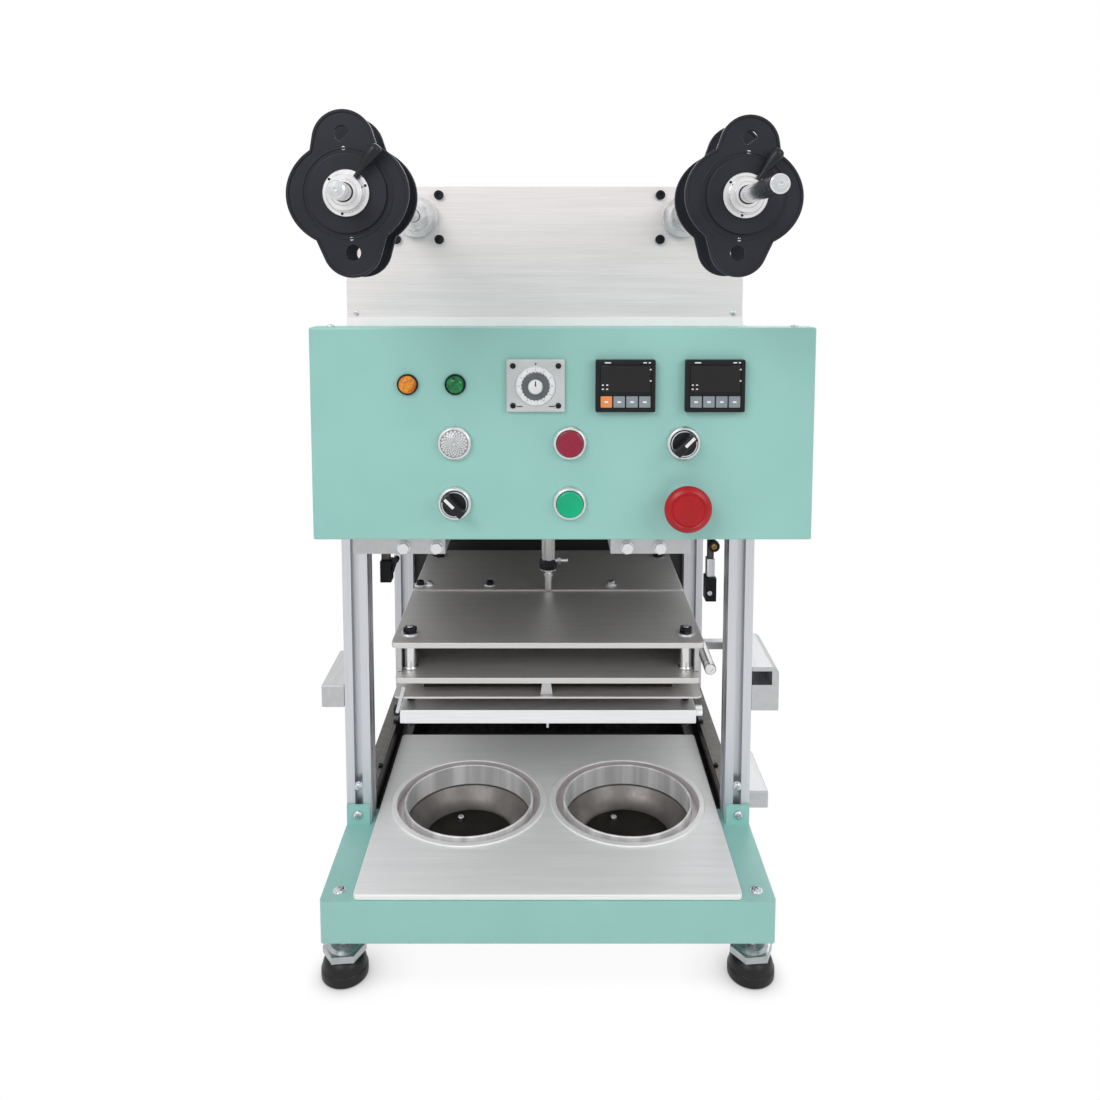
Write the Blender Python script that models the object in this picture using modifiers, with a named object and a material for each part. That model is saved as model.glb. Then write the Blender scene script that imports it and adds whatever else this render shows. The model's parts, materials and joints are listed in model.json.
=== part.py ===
"""Cup sealing machine for two cups: a sliding cup tray under a pneumatic press head, with film reels on top.

Run with: blender --background --python part.py
Metres, +Z up. The machine faces -Y. The origin is on the floor, under the middle of the machine's
footprint, which the base closes at the back and the longer reel shaft closes at the front.
"""

import math

import bmesh
import bpy
from mathutils import Matrix, Vector

# Clearances
TOUCH = 0.0003
TRAY_SIDE_CLEARANCE = 0.005
ROD_CLEARANCE = 0.0004
SHAFT_CLEARANCE = 0.0004
BUTTON_CLEARANCE = 0.0004
HEAD_TO_ROLLER = 0.006

# Base and levelling feet
BASE_WIDTH = 0.416
BASE_DEPTH = 0.455
BASE_HEIGHT = 0.0407
BASE_CLEARANCE = 0.0455
BASE_CORNER = 0.004
BASE_OPENING_FRONT = 0.0685
BASE_OPENING_REAR_RIM = 0.070
FOOT_PAD_RADIUS = 0.0219
FOOT_PAD_HEIGHT = 0.0218
FOOT_RIM_HEIGHT = 0.0094
FOOT_SHOULDER_HEIGHT = 0.0180
FOOT_INSET_X = 0.0175
FOOT_INSET_Y = 0.0220
STUD_RADIUS = 0.0043
NUT_ACROSS_FLATS = 0.0352
NUT_HEIGHT = 0.0071
NUT_CHAMFER = 0.0016
FOOT_TAB_WIDTH = 0.024
FOOT_TAB_HEIGHT = 0.021
FOOT_TAB_THICKNESS = 0.0025

# Columns of slotted aluminium profile
COLUMN_WIDTH = 0.0255
COLUMN_HEIGHT = 0.337
FRONT_COLUMN_SETBACK = 0.120
SLOT_WIDTH = 0.0082
SLOT_DEPTH = 0.0078
SLOT_LIP = 0.0022
SLOT_UNDERCUT = 0.0035

# Deck, housing and control fascia
DECK_THICKNESS = 0.005
FASCIA_SIDE_PROUD = 0.0045
FASCIA_HEIGHT = 0.1815
FASCIA_OFFSET = 0.0125
FASCIA_OVERHANG = 0.0204
FASCIA_SHEET = 0.0015
FASCIA_RETURN = 0.024
HOUSING_DROP = 0.016
HOUSING_SIDE_INSET = 0.0025
HOUSING_SHEET = 0.003
SHEET_BEVEL = 0.0015
BLOCK_HEIGHT = 0.028
BLOCK_FRONT_SETBACK = 0.046
BLOCK_DEPTH = 0.280
LEFT_BLOCK_INNER = 0.095
RIGHT_BLOCK_INNER = 0.058
BLOCK_SIDE_GAP = 0.002

# Reel panel
PANEL_THICKNESS = 0.004
PANEL_SIDE_INSET = 0.004
PANEL_OFFSET = -0.0034
PANEL_ABOVE_SHAFT = 0.0314
PANEL_SETBACK = 0.165
PANEL_FOOT_HEIGHT = 0.0135
PANEL_FOOT_DEPTH = 0.020
PANEL_STRIP_THICKNESS = 0.002
PANEL_FOLD_SETBACK = 0.001

# Press head
HEAD_SETBACK = 0.098
HEAD_SIDE_GAP = 0.0265
HEAD_REAR_GAP = 0.060
HEAD_CORNER = 0.006
SEAL_CORNER = 0.002
UPPER_PLATE_RISE = 0.2024
UPPER_PLATE_THICKNESS = 0.0058
MIDDLE_PLATE_INSET = 0.0033
MIDDLE_PLATE_RISE = 0.1663
MIDDLE_PLATE_THICKNESS = 0.006
STRIPPER_INSET = 0.0015
STRIPPER_RISE = 0.1468
STRIPPER_THICKNESS = 0.002
SEAL_PLATE_INSET = 0.0075
SEAL_PLATE_RISE = 0.1328
SEAL_PLATE_THICKNESS = 0.014
POST_RADIUS = 0.0066
POST_INSET_X = 0.0155
POST_INSET_Y = 0.025
POST_NUT_RADIUS = 0.0068
POST_NUT_HEIGHT = 0.006
SPACER_RADIUS = 0.004
SPACER_INSET_X = 0.008
WASHER_RADIUS = 0.0092
WASHER_THICKNESS = 0.0016
HEATER_INSET_X = 0.026
HEATER_INSET_Y = 0.022
ROD_RADIUS = 0.008
ROD_TIP_RADIUS = 0.004
ROD_NUT_RADIUS = 0.0102
ROD_NUT_TOP = 0.0382
ROD_NUT_HEIGHT = 0.0118
ROD_FITTING_LENGTH = 0.013
ROD_FITTING_RADIUS = 0.0026
ROD_MARGIN = 0.02
ROD_COLLAR_RADIUS = 0.0055
ROD_COLLAR_HEIGHT = 0.0036
ROD_COLLAR_RISE = 0.0175
PRESS_STROKE = 0.105
CYLINDER_RADIUS = 0.025
CYLINDER_WALL_TOP = 0.012

# Cup tray, cutting rings and cup holders
TRAY_SETBACK = 0.0015
TRAY_DEPTH = 0.2905
TRAY_THICKNESS = 0.0055
TRAY_CORNER = 0.007
TRAY_STROKE = 0.096
CUP_SPACING = 0.169
CUP_SETBACK = 0.153
RING_RADIUS = 0.0826
RING_BAND = 0.0045
RING_PROUD = 0.0016
RING_CHANNEL_DEPTH = 0.010
RING_FLOOR = 0.002
HOLDER_RADIUS = 0.0685
HOLDER_WALL = 0.0022
HOLDER_DEPTH = 0.044
HOLDER_FLOOR = 0.002
HOLDER_LIP_HEIGHT = 0.022
HOLDER_FLANGE = 0.004

# Tray rails beside the tray
RAIL_THICKNESS = 0.006
RAIL_HEIGHT = 0.024
RAIL_REAR_GAP = 0.004
RAIL_BEVEL = 0.0006

# Film brackets of square tube and film rollers
BRACKET_SIZE = 0.0235
BRACKET_LENGTH = 0.0875
BRACKET_RISE = 0.1483
TALL_BRACKET_RISE = 0.1677
TALL_BRACKET_HEIGHT = 0.0461
TALL_BRACKET_WIDTH = 0.0275
TALL_BRACKET_ROUND = 0.007
POCKET_WIDTH = 0.0205
POCKET_HEIGHT = 0.0145
POCKET_DROP = 0.0045
POCKET_DEPTH = 0.040
LOWER_BRACKET_RISE = 0.0193
LOWER_BRACKET_HEIGHT = 0.0187
LOWER_BRACKET_WIDTH = 0.026
LOWER_BRACKET_LENGTH = 0.083
LOWER_BRACKET_REACH = 0.004
BRACKET_ARM_DEPTH = 0.010
BRACKET_ARM_HEIGHT = 0.008
ROLLER_DROP = 0.0085
BRACKET_ARM_JOIN = 0.004
BRACKET_BEVEL = 0.0012
ROLLER_RADIUS = 0.006
ROLLER_LENGTH = 0.060

# Film reels
SHAFT_SPACING = 0.2698
REEL_OFFSET = 0.0016
SHAFT_RISE = 0.2818
SHAFT_RADIUS = 0.006
SHAFT_PAST_PANEL = 0.008
SHAFT_BEVEL = 0.0008
LEFT_SHAFT_REACH = 0.205
RIGHT_SHAFT_REACH = 0.248
LEFT_HUB_REACH = 0.182
RIGHT_HUB_REACH = 0.159
BEARING_RADIUS = 0.0206
BEARING_LENGTH = 0.030
BEARING_NOSE_RADIUS = 0.015
BEARING_FLANGE_LENGTH = 0.010
BEARING_SEAT = 0.003
DISC_RADIUS = 0.0412
DISC_HALF_HEIGHT = 0.0362
DISC_TILT = {"left": 4.2, "right": -5.3}
DISC_THICKNESS = 0.004
DISC_STEP_RADIUS = 0.0266
DISC_STEP_HEIGHT = 0.0016
DISC_RIM_WIDTH = 0.002
DISC_RECESS = 0.0008
UPPER_LOBE_RADIUS = 0.0207
UPPER_LOBE_OFFSET = 0.0348
LOWER_LOBE_RADIUS = 0.0201
LOWER_LOBE_OFFSET = 0.0362
NECK_ANGLE = 55.0
UPPER_NECK_ANGLE = 57.0
DISC_STEPS = (9, 10)
WEB_HOLE_RADIUS = 0.0054
WEB_HOLE_OFFSET = 0.0395
PIN_HOLE_RADIUS = 0.0016
PIN_HOLE_OFFSET = 0.0300
LEFT_DISC_GAP = 0.038
RIGHT_DISC_GAP = 0.052
COLLAR_RADIUS = 0.0155
COLLAR_FLANGE = 0.003
COLLAR_BODY_RADIUS = 0.0119
COLLAR_BODY_LENGTH = 0.009
COLLAR_NOSE_RADIUS = 0.0082
COLLAR_LENGTH = 0.011
LEVER_LENGTH = 0.026
LEVER_TIP_RADIUS = 0.0045
LEVER_NECK_RADIUS = 0.0018
LEVER_SETBACK = 0.0057
LEVER_ANGLE = math.radians(36)

# Instruments on the fascia: across from the fascia's centre, down from its top edge
LAMP_RADIUS = 0.0090
LAMP_RISE = 0.007
LAMP_ROW = 0.0478
AMBER_ACROSS = -0.130
GREEN_LAMP_ACROSS = -0.090
INSTRUMENT_ROW = 0.0485
TIMER_SIZE = 0.0490
TIMER_HEIGHT = 0.0445
TIMER_ACROSS = -0.0225
TIMER_THICKNESS = 0.004
DIAL_RADIUS = 0.0165
DIAL_HEIGHT = 0.009
CONTROLLER_SIZE = 0.0500
CONTROLLER_HEIGHT = 0.0440
CONTROLLER_THICKNESS = 0.007
WINDOW_INSET = 0.0035
WINDOW_DEPTH = 0.0012
INSTRUMENT_BEVEL = 0.0012
LEFT_CONTROLLER_ACROSS = 0.0525
RIGHT_CONTROLLER_ACROSS = 0.1273
UPPER_CONTROL_ROW = 0.0975
LOWER_CONTROL_ROW = 0.1493
CLEAR_LAMP_ACROSS = -0.0910
LEFT_SELECTOR_ACROSS = -0.0912
BUTTON_ACROSS = 0.0063
RIGHT_SELECTOR_ACROSS = 0.1022
STOP_ACROSS = 0.1038
BEZEL_RADIUS = 0.0146
BEZEL_BORE = 0.0116
BEZEL_HEIGHT = 0.0045
BEZEL_BACK = 0.004
CAP_PROUD = 0.004
CAP_DEPTH = 0.004
KNOB_HEIGHT = 0.011
KNOB_BAR_WIDTH = 0.007
SELECTOR_TURN = math.radians(45)
STOP_RADIUS = 0.0198
STOP_THICKNESS = 0.009
STOP_NECK = 0.014

# Facets
RING_ROUND = 32
ROUND = 20
SMALL_ROUND = 12
PIN_ROUND = 8

# How far cutters and joined pieces run past the faces they meet
CUT_MARGIN = 0.01
JOIN_DEPTH = 0.002

# Places worked out from the sizes above
FRONT = (RIGHT_SHAFT_REACH - BASE_DEPTH) / 2
BACK = FRONT + BASE_DEPTH
BASE_TOP = BASE_CLEARANCE + BASE_HEIGHT
COLUMN_OUTER = BASE_WIDTH / 2
COLUMN_INNER = COLUMN_OUTER - COLUMN_WIDTH
COLUMN_MIDDLE = COLUMN_OUTER - COLUMN_WIDTH / 2
FRONT_COLUMN_Y = FRONT + FRONT_COLUMN_SETBACK
REAR_COLUMN_Y = BACK - COLUMN_WIDTH - TOUCH
DECK_UNDERSIDE = BASE_TOP + COLUMN_HEIGHT + 2 * TOUCH
DECK_TOP = DECK_UNDERSIDE + DECK_THICKNESS
FASCIA_HALF = BASE_WIDTH / 2 + FASCIA_SIDE_PROUD
FASCIA_FRONT = FRONT - FASCIA_OVERHANG
FASCIA_BOTTOM = DECK_TOP + TOUCH
FASCIA_TOP = FASCIA_BOTTOM + FASCIA_HEIGHT
HOUSING_TOP = FASCIA_TOP - HOUSING_DROP
PANEL_HALF = BASE_WIDTH / 2 - PANEL_SIDE_INSET
PANEL_Y = FRONT + PANEL_SETBACK
SHAFT_HEIGHT = DECK_TOP + SHAFT_RISE
PANEL_TOP = SHAFT_HEIGHT + PANEL_ABOVE_SHAFT
HEAD_HALF = COLUMN_INNER - HEAD_SIDE_GAP
HEAD_FRONT = FRONT + HEAD_SETBACK
HEAD_BACK = BACK - HEAD_REAR_GAP
HEAD_MIDDLE_Y = (HEAD_FRONT + HEAD_BACK) / 2
UPPER_PLATE_TOP = BASE_TOP + UPPER_PLATE_RISE
MIDDLE_PLATE_TOP = BASE_TOP + MIDDLE_PLATE_RISE
MIDDLE_PLATE_BOTTOM = MIDDLE_PLATE_TOP - MIDDLE_PLATE_THICKNESS
STRIPPER_TOP = BASE_TOP + STRIPPER_RISE
STRIPPER_BOTTOM = STRIPPER_TOP - STRIPPER_THICKNESS
SEAL_PLATE_TOP = BASE_TOP + SEAL_PLATE_RISE
SEAL_PLATE_BOTTOM = SEAL_PLATE_TOP - SEAL_PLATE_THICKNESS
BRACKET_TOP = BASE_TOP + BRACKET_RISE
TALL_BRACKET_TOP = BASE_TOP + TALL_BRACKET_RISE
LOWER_BRACKET_TOP = BASE_TOP + LOWER_BRACKET_RISE
TRAY_HALF = COLUMN_INNER - TRAY_SIDE_CLEARANCE
TRAY_FRONT = FRONT + TRAY_SETBACK
TRAY_BOTTOM = BASE_TOP + TOUCH
TRAY_TOP = TRAY_BOTTOM + TRAY_THICKNESS
CUP_Y = FRONT + CUP_SETBACK
BASE_OPENING_HALF = CUP_SPACING / 2 + RING_RADIUS - RING_BAND + TRAY_SIDE_CLEARANCE
SIDES = {"left": -1, "right": 1}


def make_collection(name):
    collection = bpy.data.collections.new(name)
    bpy.context.scene.collection.children.link(collection)
    return collection


def clear_scene():
    for obj in list(bpy.data.objects):
        bpy.data.objects.remove(obj, do_unlink=True)


clear_scene()
PARTS = make_collection("cup_sealing_machine")
CUTTERS = make_collection("cutters")
CUTTERS.hide_render = True


def material(name, colour, roughness, metallic=0.0, alpha=1.0):
    made = bpy.data.materials.new(name)
    made.use_nodes = True
    shader = made.node_tree.nodes["Principled BSDF"]
    shader.inputs["Base Color"].default_value = (*colour, 1.0)
    shader.inputs["Roughness"].default_value = roughness
    shader.inputs["Metallic"].default_value = metallic
    shader.inputs["Alpha"].default_value = alpha
    return made


MINT = material("mint_paint", (0.33, 0.62, 0.54), 0.35)
STEEL = material("brushed_steel", (0.62, 0.62, 0.62), 0.32, 1.0)
DARK_STEEL = material("dark_steel", (0.20, 0.19, 0.18), 0.45, 1.0)
CHROME = material("chrome", (0.80, 0.80, 0.80), 0.10, 1.0)
ALUMINIUM = material("anodised_aluminium", (0.52, 0.54, 0.56), 0.40, 1.0)
RUBBER = material("black_rubber", (0.02, 0.02, 0.02), 0.60)
BLACK_PLASTIC = material("black_plastic", (0.022, 0.023, 0.027), 0.38)
BLACK_PAINT = material("black_paint", (0.012, 0.012, 0.012), 0.45)
PALE_PLASTIC = material("pale_plastic", (0.70, 0.71, 0.70), 0.40)
AMBER_LENS = material("amber_lens", (0.85, 0.32, 0.03), 0.15)
GREEN_LENS = material("green_lens", (0.0, 0.30, 0.10), 0.15)
CLEAR_LENS = material("clear_lens", (0.85, 0.87, 0.88), 0.10)
RED_CAP = material("red_cap", (0.45, 0.02, 0.03), 0.30)
GREEN_CAP = material("green_cap", (0.0, 0.40, 0.16), 0.30)


def add_object(name, mesh, collection, surface=None):
    made = bpy.data.objects.new(name, mesh)
    collection.objects.link(made)
    if surface:
        made.data.materials.append(surface)
    if collection is CUTTERS:
        made.hide_render = True
        made.display_type = "WIRE"
    return made


def place(bm, name, collection, surface, location=(0, 0, 0)):
    mesh = bpy.data.meshes.new(name)
    bm.to_mesh(mesh)
    bm.free()
    made = add_object(name, mesh, collection, surface)
    made.location = location
    return made


def box(name, low, high, surface=None, collection=PARTS, bevel=0.0, segments=2):
    """A box between two corners, with its origin at its centre."""
    low, high = Vector(low), Vector(high)
    bm = bmesh.new()
    bmesh.ops.create_cube(bm, size=1.0)
    bmesh.ops.scale(bm, vec=high - low, verts=bm.verts)
    made = place(bm, name, collection, surface, (low + high) / 2)
    if bevel:
        soften(made, bevel, segments)
    return made


def soften(made, width, segments=2):
    edge = made.modifiers.new("edge", "BEVEL")
    edge.width = width
    edge.segments = segments
    edge.limit_method = "ANGLE"


def round_bar(name, radius, start, end, surface=None, collection=PARTS, sides=ROUND, tip_radius=None):
    """A cylinder or cone from one point to another, with its origin at the middle."""
    start, end = Vector(start), Vector(end)
    along = end - start
    bm = bmesh.new()
    bmesh.ops.create_cone(
        bm,
        cap_ends=True,
        segments=sides,
        radius1=radius,
        radius2=radius if tip_radius is None else tip_radius,
        depth=along.length,
    )
    made = place(bm, name, collection, surface, (start + end) / 2)
    made.rotation_mode = "QUATERNION"
    made.rotation_quaternion = along.to_track_quat("Z", "Y")
    smooth(made)
    return made


def smooth(made, angle=35):
    made.data.shade_smooth()
    made.data.set_sharp_from_angle(angle=math.radians(angle))


def turned(name, profile, location, surface=None, collection=PARTS, direction=(0, 0, 1), steps=ROUND):
    """A profile of (radius, height) points, running down the outer side, turned about the direction."""
    mesh = bpy.data.meshes.new(name)
    points = [(radius, 0, height) for radius, height in profile]
    closed = profile[0][0] > 0 or profile[-1][0] > 0
    edges = [(i, i + 1) for i in range(len(points) - 1)]
    if closed:
        edges.append((len(points) - 1, 0))
    mesh.from_pydata(points, edges, [])
    made = add_object(name, mesh, collection, surface)
    made.location = location
    made.rotation_mode = "QUATERNION"
    made.rotation_quaternion = Vector(direction).to_track_quat("Z", "Y")
    spin = made.modifiers.new("spin", "SCREW")
    spin.steps = spin.render_steps = steps
    spin.use_merge_vertices = True
    spin.merge_threshold = 0.00001
    spin.use_smooth_shade = True
    return made


def outlined(name, points, thickness, surface=None, collection=PARTS):
    """A flat outline in X and Y made into a plate, as a mesh with welded edges, from z = 0 up."""
    curve = bpy.data.curves.new(name, "CURVE")
    curve.dimensions = "2D"
    curve.fill_mode = "BOTH"
    curve.extrude = thickness / 2
    spline = curve.splines.new("POLY")
    spline.points.add(len(points) - 1)
    for point, (x, y) in zip(spline.points, points):
        point.co = (x, y, 0, 1)
    spline.use_cyclic_u = True
    guide = bpy.data.objects.new(name + "_outline", curve)
    CUTTERS.objects.link(guide)
    graph = bpy.context.evaluated_depsgraph_get()
    mesh = bpy.data.meshes.new_from_object(guide.evaluated_get(graph))
    bpy.data.objects.remove(guide)
    bm = bmesh.new()
    bm.from_mesh(mesh)
    bmesh.ops.remove_doubles(bm, verts=bm.verts, dist=0.000001)
    bmesh.ops.translate(bm, vec=(0, 0, thickness / 2), verts=bm.verts)
    bmesh.ops.recalc_face_normals(bm, faces=bm.faces)
    bpy.data.meshes.remove(mesh)
    made = place(bm, name, collection, surface)
    return made


def combine(made, other, operation):
    step = made.modifiers.new(operation.lower(), "BOOLEAN")
    step.operation = operation
    step.object = other
    step.solver = "EXACT"
    return made


def cut(made, cutter):
    return combine(made, cutter, "DIFFERENCE")


def join(made, other):
    return combine(made, other, "UNION")


def arc(centre, radius, start, end, steps):
    """Points along an arc, with angles in degrees."""
    turn = [math.radians(start + (end - start) * i / steps) for i in range(steps + 1)]
    return [(centre[0] + radius * math.cos(a), centre[1] + radius * math.sin(a)) for a in turn]


def rounded_rectangle(low, high, radius, steps=4):
    (x0, y0), (x1, y1) = low, high
    return (
        arc((x1 - radius, y0 + radius), radius, -90, 0, steps)
        + arc((x1 - radius, y1 - radius), radius, 0, 90, steps)
        + arc((x0 + radius, y1 - radius), radius, 90, 180, steps)
        + arc((x0 + radius, y0 + radius), radius, 180, 270, steps)
    )


def plate(name, low, high, bottom, thickness, corner, surface, collection=PARTS):
    """A flat rectangular plate with rounded corners."""
    made = outlined(name, rounded_rectangle(low, high, corner), thickness, surface, collection)
    made.location.z = bottom
    return made


# Base: a painted box frame, open in the middle where the cup holders travel


def hex_bar(name, across_flats, start, end):
    """A hexagon bar used for joining, such as a nut."""
    return round_bar(name, across_flats / math.sqrt(3), start, end, collection=CUTTERS, sides=6)


def foot_places():
    for side, x_sign in SIDES.items():
        for end, y in (("front", FRONT + FOOT_INSET_Y), ("rear", BACK - FOOT_INSET_Y)):
            yield f"{end}_{side}", x_sign * (BASE_WIDTH / 2 - FOOT_INSET_X), y


def upright(name, radius, x, y, low, high, sides=SMALL_ROUND):
    """A round bar standing at a place, used for cutting or joining."""
    return round_bar(name, radius, (x, y, low), (x, y, high), collection=CUTTERS, sides=sides)


def make_base():
    half = BASE_WIDTH / 2
    frame = plate(
        "base_frame", (-half, FRONT), (half, BACK), BASE_CLEARANCE, BASE_HEIGHT, BASE_CORNER, MINT
    )
    cut(
        frame,
        box(
            "base_opening_cutter",
            (-BASE_OPENING_HALF, FRONT + BASE_OPENING_FRONT, BASE_CLEARANCE - CUT_MARGIN),
            (BASE_OPENING_HALF, BACK - BASE_OPENING_REAR_RIM, BASE_TOP + CUT_MARGIN),
            collection=CUTTERS,
        ),
    )
    for side, x_sign in SIDES.items():
        inner = x_sign * (half - FOOT_TAB_WIDTH)
        outer = x_sign * (half - TOUCH)
        back = FRONT_COLUMN_Y - TOUCH
        tab_low = (min(inner, outer), back - FOOT_TAB_THICKNESS, BASE_TOP - CUT_MARGIN)
        tab_high = (max(inner, outer), back, BASE_TOP + FOOT_TAB_HEIGHT)
        join(frame, box(f"{side}_tab", tab_low, tab_high, collection=CUTTERS))
    return frame


def make_feet():
    """Levelling feet: a low rubber bell, a broad hexagon above it and the stud up to the frame."""
    rim, nut = FOOT_PAD_RADIUS, FOOT_PAD_HEIGHT + NUT_HEIGHT
    for tag, x, y in foot_places():
        profile = [
            (0, BASE_CLEARANCE - TOUCH),
            (STUD_RADIUS, BASE_CLEARANCE - TOUCH),
            (STUD_RADIUS, nut),
            (NUT_ACROSS_FLATS / 2 - NUT_CHAMFER, nut),
            (NUT_ACROSS_FLATS / 2, nut - NUT_CHAMFER),
            (NUT_ACROSS_FLATS / 2, FOOT_PAD_HEIGHT),
            (rim * 0.70, FOOT_PAD_HEIGHT),
            (rim * 0.86, FOOT_SHOULDER_HEIGHT),
            (rim * 0.97, (FOOT_SHOULDER_HEIGHT + FOOT_RIM_HEIGHT) / 2),
            (rim, FOOT_RIM_HEIGHT),
            (rim, FOOT_RIM_HEIGHT * 0.2),
            (rim * 0.95, 0),
            (0, 0),
        ]
        foot = turned(f"levelling_foot_{tag}", profile, (x, y, 0), RUBBER)
        low, high = (x, y, FOOT_PAD_HEIGHT), (x, y, nut - NUT_CHAMFER)
        join(foot, hex_bar(f"{tag}_hexagon", NUT_ACROSS_FLATS, low, high))


# Columns: slotted profile, one at each corner


def slotted_outline(width):
    """Half-way round each side: the lip, the slot and its undercut, turned to the four sides."""
    half = width / 2
    side = [
        (-half, -half),
        (-SLOT_WIDTH / 2, -half),
        (-SLOT_WIDTH / 2, -half + SLOT_LIP),
        (-SLOT_WIDTH / 2 - SLOT_UNDERCUT, -half + SLOT_LIP),
        (-SLOT_WIDTH / 2, -half + SLOT_DEPTH),
        (SLOT_WIDTH / 2, -half + SLOT_DEPTH),
        (SLOT_WIDTH / 2 + SLOT_UNDERCUT, -half + SLOT_LIP),
        (SLOT_WIDTH / 2, -half + SLOT_LIP),
        (SLOT_WIDTH / 2, -half),
    ]
    points = []
    for quarter in range(4):
        turn = Matrix.Rotation(quarter * math.pi / 2, 2)
        points += [tuple(turn @ Vector(point)) for point in side]
    return points


def make_columns():
    for side, x_sign in SIDES.items():
        for end, y in (("front", FRONT_COLUMN_Y), ("rear", REAR_COLUMN_Y)):
            column = outlined(f"column_{end}_{side}", slotted_outline(COLUMN_WIDTH), COLUMN_HEIGHT, ALUMINIUM)
            column.location = (x_sign * COLUMN_MIDDLE, y + COLUMN_WIDTH / 2, BASE_TOP + TOUCH)


def make_rear_panel():
    front = REAR_COLUMN_Y + COLUMN_WIDTH / 2
    low = (-COLUMN_INNER + TOUCH, front, BASE_TOP + TOUCH)
    high = (COLUMN_INNER - TOUCH, front + HOUSING_SHEET, DECK_UNDERSIDE - TOUCH)
    return box("rear_panel", low, high, BLACK_PAINT)


# Deck, housing, fascia and reel panel


def make_deck():
    low = (-COLUMN_OUTER, FRONT, DECK_UNDERSIDE)
    deck = box("deck_plate", low, (COLUMN_OUTER, BACK, DECK_TOP), STEEL)
    bore = ROD_RADIUS + ROD_CLEARANCE
    low, high = DECK_UNDERSIDE - CUT_MARGIN, DECK_TOP + CUT_MARGIN
    cut(deck, upright("deck_bore", bore, 0, HEAD_MIDDLE_Y, low, high, ROUND))
    return deck


def make_guide_blocks():
    """Steel blocks bolted under the deck, one along each side."""
    outer = COLUMN_INNER - BLOCK_SIDE_GAP
    front = FRONT + BLOCK_FRONT_SETBACK
    for side, inner in (("left", LEFT_BLOCK_INNER), ("right", RIGHT_BLOCK_INNER)):
        x0, x1 = sorted((SIDES[side] * inner, SIDES[side] * outer))
        low = (x0, front, DECK_UNDERSIDE - BLOCK_HEIGHT)
        box(f"guide_block_{side}", low, (x1, front + BLOCK_DEPTH, DECK_UNDERSIDE - TOUCH), STEEL)


def make_housing():
    half = FASCIA_HALF - HOUSING_SIDE_INSET
    front = FASCIA_FRONT + FASCIA_RETURN + TOUCH
    low = Vector((FASCIA_OFFSET - half, front, FASCIA_BOTTOM))
    high = Vector((FASCIA_OFFSET + half, BACK, HOUSING_TOP))
    housing = box("upper_housing", low, high, MINT, bevel=SHEET_BEVEL)
    sheet = Vector((HOUSING_SHEET, HOUSING_SHEET, HOUSING_SHEET))
    inner_low = low + sheet
    inner_low.z = low.z - CUT_MARGIN
    cut(housing, box("housing_hollow", inner_low, high - sheet, collection=CUTTERS))
    return housing


def fascia_point(across, down, out=0.0):
    """A place on the fascia's front, measured from its centre line and its top edge."""
    return Vector((FASCIA_OFFSET + across, FASCIA_FRONT - out, FASCIA_TOP - down))


CONTROLS = {
    "red_button": (BUTTON_ACROSS, UPPER_CONTROL_ROW),
    "green_button": (BUTTON_ACROSS, LOWER_CONTROL_ROW),
    "left_selector": (LEFT_SELECTOR_ACROSS, LOWER_CONTROL_ROW),
    "right_selector": (RIGHT_SELECTOR_ACROSS, UPPER_CONTROL_ROW),
    "emergency_stop": (STOP_ACROSS, LOWER_CONTROL_ROW),
}


def make_fascia():
    """A folded pan: a front sheet with returns on its four edges, and a collar round each control."""
    low = Vector((FASCIA_OFFSET - FASCIA_HALF, FASCIA_FRONT, FASCIA_BOTTOM))
    high = Vector((FASCIA_OFFSET + FASCIA_HALF, FASCIA_FRONT + FASCIA_RETURN, FASCIA_TOP))
    fascia = box("control_fascia", low, high, MINT, bevel=SHEET_BEVEL)
    sheet = Vector((FASCIA_SHEET, FASCIA_SHEET, FASCIA_SHEET))
    inner_high = high - sheet
    inner_high.y = high.y + CUT_MARGIN
    cut(fascia, box("fascia_hollow", low + sheet, inner_high, collection=CUTTERS))
    for name, (across, down) in CONTROLS.items():
        outer = fascia_point(across, down, BEZEL_HEIGHT)
        back = fascia_point(across, down, -BEZEL_BACK)
        tip = BEZEL_RADIUS * 0.94
        collar = round_bar(f"{name}_collar", BEZEL_RADIUS, back, outer, collection=CUTTERS, tip_radius=tip)
        join(fascia, collar)
        bore_end = fascia_point(across, down, BEZEL_HEIGHT + CUT_MARGIN)
        bore_start = fascia_point(across, down, -BEZEL_BACK - CUT_MARGIN)
        cut(fascia, round_bar(f"{name}_bore", BEZEL_BORE, bore_start, bore_end, collection=CUTTERS))
    return fascia


def shaft_place(side):
    return REEL_OFFSET + SIDES[side] * SHAFT_SPACING / 2


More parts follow.
